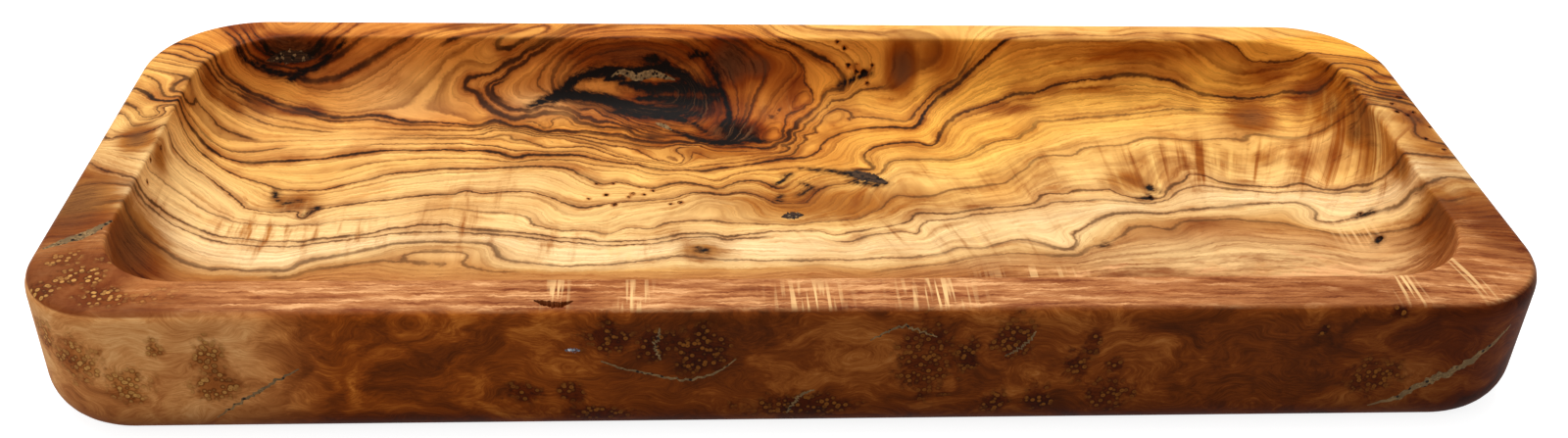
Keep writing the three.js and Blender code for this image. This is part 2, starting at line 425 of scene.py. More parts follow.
def carved_tree():
    tree, given, leave = new_tree("carved_section", "Geometry", dict(
        section="Geometry", block="Object", hollow="Object", columns="Int", rows="Int",
        finish="Material"), dict(solid="Geometry"))
    grid = add_node("GeometryNodeMeshGrid", {
        "Size X": 1.0, "Size Y": 1.0, "Vertices X": plus(given["Columns"], 1.0),
        "Vertices Y": given["Rows"]})
    cell = parts_of(add_node("GeometryNodeInputPosition", tree=tree).outputs[0])
    column = times(plus(cell["X"], 0.5), given["Columns"])
    column = calc("MODULO", calc("ROUND", column), given["Columns"])
    row = times(plus(cell["Y"], 0.5), minus(given["Rows"], 1.0))
    row = calc("ROUND", row)
    step = parts_of(pick(given["Section"], row))
    side = pick(given["Section"], row, "side", "FLOAT")
    close = pick(given["Section"], row, "close", "FLOAT")
    edges = [object_mesh(given[name]) for name in ("Block", "Hollow")]
    edge, inward, middle = (
        blend(side, *[pick(geometry, column, name) for geometry in edges])
        for name in (None, "inward", "middle"))
    spot = vector_calc("ADD", edge, scaled(inward, step["X"]))
    spot = blend(close, spot, middle)
    spot = vector_calc("ADD", spot, combine(z=step["Z"]))
    closed = add_node("GeometryNodeMergeByDistance", {
        "Geometry": moved_grid(grid, spot), "Distance": MERGE_GAP})
    leave_solid(closed.outputs[0], given["Finish"], leave)
    return tree


# %% Run a tree on a piece and keep only the mesh it makes


def grow(name, tree, start, **values):
    """A new object from a tree; each input is set by its socket's identifier"""
    start.hide_render = True
    modifier = start.modifiers.new("tree", "NODES")
    modifier.node_group = tree
    sockets = {item.name: item.identifier for item in tree.interface.items_tree if item.in_out == "INPUT"}
    for key, value in values.items():
        modifier[sockets[label(key)]] = value
    ready = start.evaluated_get(bpy.context.evaluated_depsgraph_get())
    mesh = bpy.data.meshes.new_from_object(ready)
    mesh.name = name
    start.modifiers.remove(modifier)
    bpy.data.objects.remove(start)
    return place_object(name, mesh)


# %% Carve the tray
steps = section_steps()
block = outline("block_outline", BLOCK, OUTER_CORNERS)
hollow = outline("hollow_outline", HOLLOW, INNER_CORNERS)
tray = grow(
    "carved_tray", carved_tree(), section_piece(steps), block=block, hollow=hollow,
    columns=len(block.data.vertices), rows=len(steps), finish=bpy.data.materials.new("olive_wood"))
for piece in (block, hollow):
    bpy.data.objects.remove(piece)
print("section steps:", len(steps), "points:", len(tray.data.vertices), "faces:", len(tray.data.polygons))

# %% [markdown]
# ## Where a point lies in the figure
# Growth lines run over the rim, down the cove and across the floor without a break, because the hollow
# was carved out of lines that were already there. Rings cut out of a solid pattern would do the same,
# but their lines could not be led round the knots one by one. To draw the lines in one plane, the hollow
# is unrolled: the rim and the walls are pushed outward until the cove lies flat. The sides and the
# underside take the place of the rim above them, plus a depth, so the same lines run down the ends and
# the back.

# %% Unroll the points of the tray
GROW = COVE_RADIUS * QUARTER + HOLLOW_DEPTH - 2 * COVE_RADIUS
UNDER_LEVEL = 12.4
HAIR = 0.01
TINY = 1e-9


def mesh_points(piece):
    flat = np.empty(len(piece.data.vertices) * 3, dtype=np.float32)
    piece.data.vertices.foreach_get("co", flat)
    return flat.reshape(-1, 3).astype(float) / MM


def distance_inside(places, box, corners):
    """How far points lie inside a rounded rectangle, and the inward direction there"""
    left, right_side, front, back = box
    half_size = np.array((right_side - left, back - front)) / 2
    local = places - np.array((left + right_side, front + back)) / 2
    side = np.where(local >= 0, 1.0, -1.0)
    right_half, back_half = (side > 0).T
    quarter = np.where(back_half, np.where(right_half, 0, 1), np.where(right_half, 3, 2))
    radius = np.array(corners)[quarter]
    over = np.abs(local) - half_size + radius[:, None]
    round_part = np.maximum(over, 0)
    reach = np.linalg.norm(round_part, axis=1)
    inside_by = radius - reach - np.minimum(over.max(axis=1), 0)
    nearer_end = over[:, :1] > over[:, 1:]
    straight = np.where(nearer_end, (1.0, 0.0), (0.0, 1.0))
    rounded = round_part / np.maximum(reach, TINY)[:, None]
    outward = np.where((over > 0).all(axis=1)[:, None], rounded, straight)
    return inside_by, -side * outward


def smooth_step(value, low, high):
    share = np.clip((value - low) / (high - low), 0, 1)
    return share * share * (3 - 2 * share)


def unroll(points):
    """Flat place in the figure (two columns) and depth under the rim, in millimetres"""
    z = points[:, 2]
    inside_by, inward = distance_inside(points[:, :2], HOLLOW, INNER_CORNERS)
    cove_top = FLOOR_LEVEL + COVE_RADIUS
    turn = np.arcsin(np.clip((cove_top - z) / COVE_RADIUS, 0, 1))
    down = np.where(z > cove_top, HEIGHT - z, HEIGHT - cove_top + COVE_RADIUS * turn)
    run = np.where(inside_by > COVE_RADIUS, inside_by + GROW, down + np.minimum(inside_by, 0))
    outer = (inside_by < -LIP_RADIUS - HAIR) | (z < UNDER_LEVEL)
    run = np.where(outer, inside_by, run)
    place = points[:, :2] - inward * (inside_by - run + GROW)[:, None]
    below = smooth_step(UNDER_LEVEL - z, 0, UNDER_LEVEL)[:, None]
    stretched = points[:, :2] * (1 + GROW / np.array((LENGTH, WIDTH)) * 2)
    place = place + (stretched - place) * below
    return place, np.where(outer, HEIGHT - z, 0.0)


# %% [markdown]
# ## Growth lines
# The dark lines of olive wood are its growth rings, cut at a low angle. Each row below is one line, read
# off the photograph: its ring number, then points along it in the unrolled plane. Each line could be a
# painted curve, but then the wood between would not bend with it. The rings between are smooth, so a
# thin-plate spline through all points gives a ring number everywhere, and its slope says how many rings
# pass in a millimetre. A line of a set width can then be drawn at any ring number by the material.

# %% Lines read off the photograph: ring number, then places in millimetres
GRAIN_LINES = (
    (-66, (-160, -73), (-110, -73), (-55, -73), (0, -73), (55, -73), (110, -73), (160, -73)),
    (-50, (-155, -56), (-110, -57), (-55, -56), (0, -57), (55, -55), (110, -56), (155, -57)),
    (-35, (-150, -38), (-110, -38), (-75, -36), (-38, -36), (0, -37), (38, -35), (75, -33), (112, -34),
     (150, -36)),
    (-24, (-140, -24.5), (-110, -25), (-90, -19.5), (-80, -20.5), (-70, -21), (-64, -23.2), (-50, -24),
     (-10, -23.5), (0, -22.5), (5, -22.2), (15, -24.5), (25, -22.5), (35, -20.5), (40, -18.5),
     (48, -17.3), (60, -18.3), (65, -16), (70, -13.5), (75, -9.5), (80, -7), (86, -8), (90, -5),
     (100, -4), (110, -5.5), (120, -9), (130, -13), (140, -20), (150, -23)),
    (-20, (-145, -21), (-135, -20), (-125, -21.5), (-115, -22.5), (-107, -22.5), (-104, -19.5),
     (-98, -17.5), (-92, -15.2), (-86, -12.7), (-80, -12), (-70, -12.3), (-66, -13), (-63.5, -17),
     (-60, -19.5), (-50, -21.3), (-40, -21), (-30, -19), (-25, -17.8), (-15, -19.5), (0, -19.8),
     (10, -19.5), (25, -18.7), (32, -17.5), (36, -15.3), (42, -15.4), (46, -13.6), (51, -12), (55, -13.3),
     (61, -16), (63, -14), (63, -10), (66, -7.5), (70, -4), (74, -1.8), (80, -1), (85, -1.5), (90, -0.5),
     (100, 1), (110, 2.5), (118, 3), (121.5, -1.5), (120.5, -4.5), (125, -5.5), (130, -6), (135, -8),
     (138, -10.5), (143, -11.5), (146, -14.5), (148, -15.5), (154, -13), (160, -14.5)),
    (-11.2, (-144, -13.5), (-138, -11.5), (-130, -10.8), (-118, -13), (-112, -13.6), (-106, -13.3),
     (-94, -10.5), (-85, -8.8), (-75, -8.4), (-64, -9.5), (-55, -11.2), (-45, -13.2), (-40, -13.8),
     (-30, -13), (-24, -10.9), (-20, -10.6), (-12, -11.2), (0, -10.4), (6, -10.6), (12, -12.9), (18, -10),
     (25, -8.7), (28, -9.6), (29, -6.8), (31, -4.6), (38, -3.5), (42, -2), (50, -0.6), (55, 0.5),
     (62, 3.3), (75, 4), (83, 2.5), (88, 4), (91, 7), (95, 9.3), (100, 10), (105, 8.5), (115, 7),
     (120, 7.5), (125, 7), (130, 4.5), (133, 2)),
    (-8.8, (-160, -6), (-157, -9), (-152, -11.5), (-148, -13), (-142, -11), (-136, -9), (-130, -8.6),
     (-118, -11), (-112, -12), (-106, -11.8), (-94, -9.3), (-88, -7), (-82, -5.3), (-76, -5.2),
     (-70, -7.3), (-60, -8.6), (-50, -10.5), (-40, -12.2), (-35, -12), (-28, -11), (-22, -9.3),
     (-15, -10.6), (-5, -8.5), (0, -8.2), (6, -8.4), (9, -9.7), (17, -8), (24, -5.8), (27, -4.5),
     (28.5, -1.8), (36, -1.5), (45, 0.5), (55, 2), (57, 3.2), (59, 6), (64, 6.6), (67, 8), (76, 8.3),
     (83, 4.5), (87, 5), (91, 10.5), (94, 12), (96, 15), (100, 14.5), (102, 12.5), (105, 11), (115, 9.5),
     (123, 11), (126, 8), (130, 5.5), (136, 2), (140, 0), (147, -2.5), (155, -4.5), (160, -5)),
    (-3, (-148, -6), (-142, -3), (-138, -1), (-132, -0.6), (-124, -3), (-118, -5), (-113, -5.4),
     (-107, -5.2), (-100, -4), (-90, -2.4), (-80, 0.5), (-76, 1.2), (-66, -0.7), (-62, -1), (-58, -3),
     (-57, -5.5), (-54, -7), (-50, -8), (-44, -8.2), (-41, -9.3), (-36, -7), (-31, -7.3), (-28, -5),
     (-20, -4), (-10, -5.4), (0, -6), (4, -5.2), (15, -3.5), (18, -1.5), (21, 0.5), (24, 5), (34, 6),
     (38, 8.7), (44, 9.7), (52, 12), (55, 15.5), (58, 18.5), (60, 21.5), (63, 23.5), (70, 24), (73, 26.8),
     (80, 28.5), (84, 29), (88, 31.5), (92, 32.3), (102, 31), (111, 32), (115, 31), (122, 33),
     (126, 31.5), (140, 27), (144, 24), (148, 22), (155, 19)),
    (5, (-148, 9.3), (-136, 10.3), (-131, 10.2), (-127, 8), (-123, 4.5), (-121, 1.5), (-115, -0.2),
     (-109, 0), (-107.5, -2.8), (-106, -0.3), (-100, 2.5), (-92, 4.4), (-82, 6.5), (-76, 7), (-73.5, 8.3),
     (-70, 7.5), (-60, 8), (-57, 7.2), (-54, 5.6), (-51, 3.5), (-48, 1.6), (-46, 1.2), (-40, 3.2),
     (-30, 4.5), (-26, 5.3), (-23, 7), (-12, 7.5), (-8, 7), (-5, 5), (-3, 3.2), (0, 3), (4, 3.5), (7, 8),
     (10, 10.5), (14, 11.5), (22, 15.5), (24, 19), (26, 21.3), (31, 22), (40, 22), (43, 23), (47, 26),
     (50, 29), (55, 31.2), (58, 32), (60, 34.5), (63, 37), (64, 39.5), (72, 40.5), (80, 41.5), (85, 42),
     (100, 44), (120, 43)),
    (15, (-150, 17.5), (-145, 18.5), (-140, 18), (-132, 16.5), (-127, 15), (-122, 12.8), (-118, 11),
     (-116, 9.5), (-112, 8.8), (-105, 9), (-101, 11), (-97, 12.5), (-93, 15), (-88, 16.3), (-80, 18),
     (-70, 18), (-60, 19), (-55, 18.8), (-51, 18), (-48, 15.7), (-45, 13), (-42, 11), (-40, 12),
     (-34, 10), (-30, 9.5), (-28, 10.8), (-25, 11.8), (-20, 11), (-16, 9.1), (-12, 11.5), (-6, 12.3),
     (-4, 10.5), (-2, 9)),
    (15, (21, 18), (20, 21), (19.5, 23.5), (20.5, 26), (24, 28.5), (28, 29.7), (33, 30), (36, 28.5),
     (38, 30.5), (39, 34), (41, 38), (44, 41.5), (48, 43.5), (55, 46), (58, 47.5), (66, 48.7), (70, 50.5),
     (80, 52), (90, 53.2), (95, 52.3), (100, 51.5), (104, 49.7), (108, 48), (118, 47), (129, 46.3),
     (133, 44), (137, 42), (145, 40.3), (148, 40), (151, 37.5), (153, 34), (154, 30)),
    (24, (-160, 26), (-155, 22.5), (-153, 20), (-150, 19.5), (-145, 21), (-140, 21.5), (-130, 20),
     (-120, 21), (-110, 22), (-105, 23.3), (-100, 24.8), (-95, 26), (-80, 26.4), (-72, 26), (-67, 25),
     (-65, 23.6), (-63, 23), (-61, 24), (-50, 24.3), (-45, 22.5), (-40, 21), (-35, 20), (-30, 17.8),
     (-20, 17), (-10, 19.2), (-5, 20.8), (0, 22.3), (5, 22.8), (7, 24.3), (9, 26.5), (10, 29.5), (12, 32),
     (15, 34.5), (20, 36.5), (25, 37.3), (33, 37.2), (35, 39.5), (38, 45), (42, 48.5), (46, 51.5),
     (50, 55.5), (54, 59.5), (57, 62.5), (65, 64.5), (75, 64.8), (85, 64.2), (90, 66), (103, 66),
     (108, 64), (112, 62.5), (115, 61), (118, 58.5), (123, 56), (128, 55), (133, 53.5), (140, 52.5),
     (145, 50.5), (150, 48), (155, 45.5), (160, 41)),
    (26, (3, 25.5), (4, 28.5), (6, 31.5), (9, 34.5), (13, 38), (17, 40.3), (22, 41.2), (31, 40), (35, 44),
     (37, 46.5), (40, 49), (45, 52)),
    (30, (-160, 37), (-155, 34.5), (-147, 30.3), (-137, 31.5), (-130, 31)),
    (30, (-90, 32), (-70, 32), (-65, 31.3), (-60, 29.5), (-56, 27.5), (-46, 27.5), (-43, 25.5),
     (-40, 23.5), (-36, 22), (-33, 21)),
    (30, (0, 29), (3, 34), (6, 38.5), (10, 43), (13, 46), (19, 48), (25, 49.5), (29, 52.5), (30.5, 57),
     (30, 63)),
    (33, (-70, 37), (-65, 36), (-57, 33.5), (-52, 33), (-48, 31.5), (-45, 30), (-42, 28.8), (-38, 28),
     (-35, 26.5), (-32, 24), (-30, 22), (-25, 20)),
    (36, (-158, 47), (-153, 45.5), (-148, 42)),
    (38, (-156, 52.5), (-150, 52.5), (-147, 50), (-144, 47.5), (-137, 45.6), (-127, 45.5), (-117, 43.5),
     (-108, 40.8), (-98, 41.5), (-90, 39.4), (-80, 38.8), (-65, 37.3), (-60, 36.5), (-57, 35),
     (-45, 34.8), (-41, 33.8), (-37, 32.5), (-30, 30), (-25, 30.5), (-20, 29.5), (-14, 27.5), (-10, 27.9),
     (-4, 27), (-2, 28), (0, 30), (2, 33.5), (4, 37), (7, 41.5), (10, 44.5), (16, 49.3), (16.5, 51),
     (15, 54), (11, 57), (3, 61), (0, 62.5), (-3, 66), (-6, 70)),
    (41.5, (-37.7, 36.3), (-42.3, 37.2), (-46.8, 38.5), (-50.5, 40.8), (-54, 42.4), (-58.6, 42.2),
     (-62.3, 41.3), (-67.7, 41.7), (-71.4, 44), (-74, 47.6), (-77.3, 49.2), (-76.8, 51.3), (-70.5, 53),
     (-64, 56.7), (-59.5, 60), (-55.9, 62.6), (-51.4, 67.2), (-45.9, 70)),
    (45, (-45, 39.5), (-49, 41.2), (-52, 43.6), (-55, 44.2), (-61, 43.2), (-66, 43.8), (-69, 45.3),
     (-71, 47), (-72, 49.5), (-69, 51.5), (-65, 54.5), (-61, 57.5), (-56, 61), (-50, 65)),
    (48, (-46, 44), (-44, 42.2), (-40.5, 40.4), (-36.8, 37.6), (-32.3, 35.3), (-26.8, 33), (-20, 31.3),
     (-14, 30.5)),
    (52, (-56, 51.3), (-54, 55.8), (-48.6, 60.4), (-43.2, 62.2), (-35, 63), (-26.8, 62.2), (-21.4, 59.5),
     (-17.7, 54.9), (-14, 48.5), (-12.3, 43), (-13.2, 39.5), (-16, 35.5)),
    (56, (-51.4, 54), (-46.8, 57.2), (-41.4, 58.6), (-35, 59.4), (-28.6, 58.4), (-23.2, 55.4), (-19, 51)),
    (60, (-51, 50.8), (-46, 53), (-41, 54), (-34, 54.2), (-28, 52.8), (-22.3, 50.4)),
    (58, (-50.5, 47.6), (-46, 46.3), (-41.4, 45), (-35.9, 43.2), (-30.5, 42), (-25, 41)),
    (64, (-38, 49.5), (-28, 47)),
    (47, (-12, 62.5), (-8, 60), (-4.5, 57), (-3.2, 54), (-4, 50.5), (-6, 47), (-7.5, 42)),
    (43, (2, 59), (5.5, 56), (6.5, 53), (5, 50), (2.5, 47), (0, 44), (-2.5, 41), (-4.5, 37), (-6, 33)),
    (39.3, (-92, 45.5), (-85, 50), (-81, 55), (-75, 60), (-68, 65), (-61, 70)),
    (31, (-22, 21.5), (-12, 22.8), (-4, 25), (1, 27.3)),
    (46, (-138, 58), (-136, 54.5), (-132, 52.5), (-125, 52), (-120, 52.8), (-117, 51.3), (-113, 51),
     (-108, 52), (-103, 54.5), (-98, 57.5), (-91, 62), (-88, 65), (-80, 68.5), (-70, 71)),
    (48.5, (-135, 56), (-130, 54), (-120, 54), (-114, 54.5), (-110, 56), (-106, 58.5), (-103, 61)),
    (51, (-131, 57), (-126, 56), (-120, 55.5), (-114, 56.5), (-110, 59.5), (-107, 63), (-105, 67),
     (-103, 70)),
    (55, (-120, 60)),
    (17, (-160, 19), (-157, 17), (-155, 14.5), (-154, 12.5), (-150, 14)),
    (12, (-160, 14.5), (-157, 12.5), (-155.5, 10), (-154.5, 8.5)),
    (4, (-160, 5), (-158, 2.5), (-156, 4)),
    (-13, (-160, -17), (-155, -15), (-150, -15.5)),
    (19, (145, 44), (150, 43), (154, 41), (156, 36), (158, 33)),
)
print("growth lines:", len(GRAIN_LINES), "points:", sum(len(line) - 1 for line in GRAIN_LINES))

# %% Thin-plate spline through the lines
SPACING = 8.0
SPLINE_UNIT = 10.0
STIFFNESS = 0.002
POINTS_AT_ONCE = 3000


def line_samples():
    """Places and ring numbers along the lines, no further apart than the spacing"""
    places, levels = [], []
    for level, *path in GRAIN_LINES:
        for start, end in zip(path, path[1:] + path[-1:]):
            steps = max(1, math.ceil(math.dist(start, end) / SPACING))
            for step in range(steps):
                places.append(np.array(start) + (np.array(end) - np.array(start)) * step / steps)
                levels.append(level)
    return np.array(places) / SPLINE_UNIT, np.array(levels, dtype=float)


def spline_weights(knots, levels):
    count = len(knots)
    gap = ((knots[:, None] - knots[None]) ** 2).sum(axis=2)
    system = np.zeros((count + 3, count + 3))
    system[:count, :count] = 0.5 * gap * np.log(gap + TINY) + np.eye(count) * STIFFNESS
    system[:count, count] = 1
    system[:count, count + 1:] = knots
    system[count:, :count] = system[:count, count:].T
    return np.linalg.solve(system, np.concatenate((levels, np.zeros(3))))


def ring_field(places):
    """Ring number at each place, and rings passed per millimetre"""
    knots, levels = line_samples()
    weights = spline_weights(knots, levels)
    bend, base, tilt = weights[:-3], weights[-3], weights[-2:]
    ring = np.empty(len(places))
    slope = np.empty((len(places), 2))
    for start in range(0, len(places), POINTS_AT_ONCE):
        part = slice(start, start + POINTS_AT_ONCE)
        here = places[part] / SPLINE_UNIT
        away_x = here[:, :1] - knots[:, 0]
        away_y = here[:, 1:] - knots[:, 1]
        gap = away_x ** 2 + away_y ** 2 + TINY
        log_gap = np.log(gap)
        ring[part] = (0.5 * gap * log_gap) @ bend + base + here @ tilt
        steep = log_gap + 1
        slope[part, 0] = (away_x * steep) @ bend + tilt[0]
        slope[part, 1] = (away_y * steep) @ bend + tilt[1]
    return ring, np.linalg.norm(slope, axis=1) / SPLINE_UNIT


# %% [markdown]
# ## Stains, burl and eyes
# Broad marks with soft edges, such as stains and scorched knots, could be painted by hand on the mesh.
# Here each is a row of numbers that can be moved and tried again: a place, two half sizes and a strength.
# They are stored on the tray's points, and the material roughens their edges. The eyes of the burl front
# are patches too, placed by length along the tray and by height, because that face is upright.

# %% Soft patches: place, half sizes, strength
BROWN_PATCHES = (
    (119, 41, 7, 6, 1.0), (80, 12, 7, 7, 0.7), (-20, -15.5, 6, 4, 0.8), (-111, 4, 6, 4, 0.8),
    (-114, 8, 5, 3.5, 0.4), (-144, 2, 4, 5, 0.8), (-152, 3, 4, 6, 1.1), (126, 20, 10, 9, 0.4),
    (112, 24, 9, 8, 0.4), (140, 8, 7, 9, 0.8), (143, -2, 8, 6, 0.5), (140, 30, 9, 10, 0.8),
    (-140, 40, 6, 3.5, 0.8), (-134, 40.5, 5, 3, 0.8), (-127, 42.5, 6, 2.5, 0.8),
    (-118, 42.5, 7, 1.8, 0.9), (-91.5, 49.5, 4, 3, 0.45), (-145.5, -20, 3, 6, 0.85),
    (-137, 66, 7, 5, 0.8), (-36, 58, 20, 4.5, 0.95), (-12, 56, 6, 7, 1.3), (-25, 45, 17, 7, 1.0),
    (0, 53, 8, 8, 0.6), (-12, 35, 8, 6, 1.3), (-62, 50, 8, 5, 0.4), (-120, 59, 12, 5, 1.2),
    (31, 55, 4, 7, 1.2), (-30, 30, 12, 5, 0.6), (-16, 26, 14, 5, 0.7), (40, 3, 7, 4, 0.5),
    (60, 16, 14, 9, 0.45), (-5, 0, 10, 5, 0.4), (88, 48, 24, 4, 0.3), (-30, 4, 14, 5, 0.4),
    (-28, -6, 18, 7, 0.4), (10, 11, 8, 6, 0.5), (-140, -26, 9, 12, 1.1), (146, -24, 9, 10, 0.9),
    (-157, -24, 9, 16, 1.1), (-150, -60, 18, 18, 1.3), (-130, -72, 20, 8, 0.9), (155, 4, 7, 22, 0.7),
    (156, -30, 8, 20, 0.8), (40, 57, 7, 8, 0.8), (88, 59, 20, 4, 0.75), (82, 53.4, 22, 1.5, 0.4),
    # The weak broad band at (70, 53, 60, 5) along the back wall is painted shade of that wall.
    (56, 44, 10, 2.5, 0.7), (80, 49, 20, 2, 0.6), (124, 52, 12, 4, 0.7), (70, 53, 60, 5, 0.3),
    (-105, 62, 30, 5, 0.3), (137, 42, 9, 8, 0.9), (144, 18, 6, 22, 1.0), (8, 3, 30, 9, 0.8),
    (95, 20, 34, 12, 0.42), (80, 13, 6, 3, 0.8), (94, 22, 6, 4, 0.6), (102, 26, 4, 6, 0.6),
    (108, 23, 6, 5, 0.6), (116, 22, 7, 5, 0.6), (126, 20, 6, 6, 0.6), (133, 18, 6, 9, 0.7),
    (126, 29, 6, 3, 0.5), (139, 34, 6, 9, 1.0), (140.5, 20, 5, 9, 1.0), (105, -66, 28, 8, 0.5),
    (145, -3, 4, 6, 1.0), (157, 12, 7, 4, 1.0), (158, 24, 8, 2.5, 0.9), (157, 0, 8, 2, 0.9),
    (158, 33, 8, 2, 0.8), (-6, 55, 6, 4, 1.2))
PALE_PATCHES = (
    (-70, 12, 22, 5, 0.6), (-100, -7, 30, 4, 0.7), (-60, -16, 40, 3, 0.5), (40, -8, 26, 5, 0.8),
    (90, 2, 24, 4, 0.7), (96, -19, 30, 6, 1.0), (118, -25, 20, 4, 0.8), (-60, 45, 8, 3, 0.6),
    (30, -18, 26, 4, 0.5), (70, 66, 30, 5, 0.4), (-20, -5, 24, 3, 0.3), (-93, 46, 12, 7, 0.35),
    (-102, 29, 20, 7, 0.3))
RAY_PATCHES = (
    (108, 20, 36, 12, 1.3), (40, 12, 24, 12, 0.8), (75, 16, 26, 12, 0.8), (138, 16, 14, 18, 1.5),
    (-112, -8, 28, 10, 1.0), (-70, 0, 14, 18, 0.8), (40, -10, 40, 10, 0.7), (-40, -14, 30, 8, 0.7),
    (0, 43, 7, 4, 0.7))
CHAR_PATCHES = (
    (-23, 46, 10, 5, 0.8), (-19, 43.5, 5, 4, 0.95), (-10, 35, 5, 5, 1.1), (-36, 55.5, 13, 2.5, 0.5),
    (-22, 51, 8, 3, 0.7), (-34, 43.5, 9, 2.5, 0.7), (-33, 37, 7, 2.5, 0.6), (-12, 55, 4, 6, 0.5),
    (-46, 59, 9, 2.5, 0.25), (-18, 33, 8, 3, 0.6), (18, 14, 5, 3, 0.5), (-120, 60, 11, 3.5, 0.7))
CROSS_FLECKS = (
    (-48, -66, 1.6, 5, 1.0), (-33, -67, 2.2, 5, 1.0), (0.5, -67, 4.5, 4, 1.0), (24.7, -66, 5, 5, 1.0),
    (119, -64, 2.4, 6, 1.0), (139, -58, 2.4, 8, 0.7), (52, -25, 8, 2, 0.5), (128, -10, 4, 5, 0.6))
EYE_CLUSTERS = (
    (-38.3, 24, 4.6, 4), (-29.8, 23, 3.8, 4.2), (-20.7, 21, 5.8, 6), (-45.6, 11.3, 2.8, 3.2),
    (-54.5, 11, 3.6, 2.6), (-1, 7, 11.5, 3.5), (-40, 5.5, 7, 2.2), (22.5, 18.4, 6.2, 9.5),
    (30.9, 19.4, 2.4, 4.3), (39.6, 23.6, 4.6, 5.6), (52.8, 17, 2.5, 4.5), (55.1, 21.9, 1.6, 3.8),
    (60.1, 17.2, 1.7, 2), (46, 8.8, 2.8, 4), (60, 9.5, 4.7, 4.5), (37.4, 7.6, 2.8, 3.5),
    (100.2, 24.7, 1.2, 1.3), (113, 13.6, 6, 4.6), (114.8, 28.7, 1.9, 1.4), (-137.1, 18.9, 4.6, 5.2),
    (-122.2, 22.4, 1.8, 2.4), (-112.6, 20.4, 3.3, 4.4), (-128.2, 14, 4.4, 4.4), (-112.5, 13.1, 4.7, 3.8),
    (-144, 22, 2.4, 4.2))
RIM_EYES = (
    (-138, -48, 5, 4), (-143, -42, 3.5, 3), (-131, -55, 5, 3.5), (-121, -54.5, 5, 3), (-144, -53, 3.5, 3),
    (-113, -53, 2, 1.2), (-134, -42, 2.5, 2.5))
RIM_BURL = ((-136, -50, 13, 10, 0.95),)
FADE = 0.7
FRONT_FACE_Y = -50
NO_MARK = -9.0


def soft_patches(places, patches):
    """The strongest patch at each place, fading to almost nothing at twice the half sizes"""
    field = np.zeros(len(places))
    for x, y, half_x, half_y, strength in patches:
        away = ((places[:, 0] - x) / half_x) ** 2 + ((places[:, 1] - y) / half_y) ** 2
        field = np.maximum(field, strength * np.exp(-FADE * away))
    return field


def eye_field(points):
    """1 in the middle of a cluster, 0 at its edge, less outside"""
    field = np.full(len(points), -1.0)
    on_front, on_rim = points[:, 1] < FRONT_FACE_Y, points[:, 2] > HEIGHT - 1
    for places, clusters, here in (
            (points[:, (0, 2)], EYE_CLUSTERS, on_front), (points[:, :2], RIM_EYES, on_rim)):
        for x, y, half_x, half_y in clusters:
            away = np.hypot((places[:, 0] - x) / half_x, (places[:, 1] - y) / half_y)
            field = np.where(here, np.maximum(field, 1 - away), field)
    return field


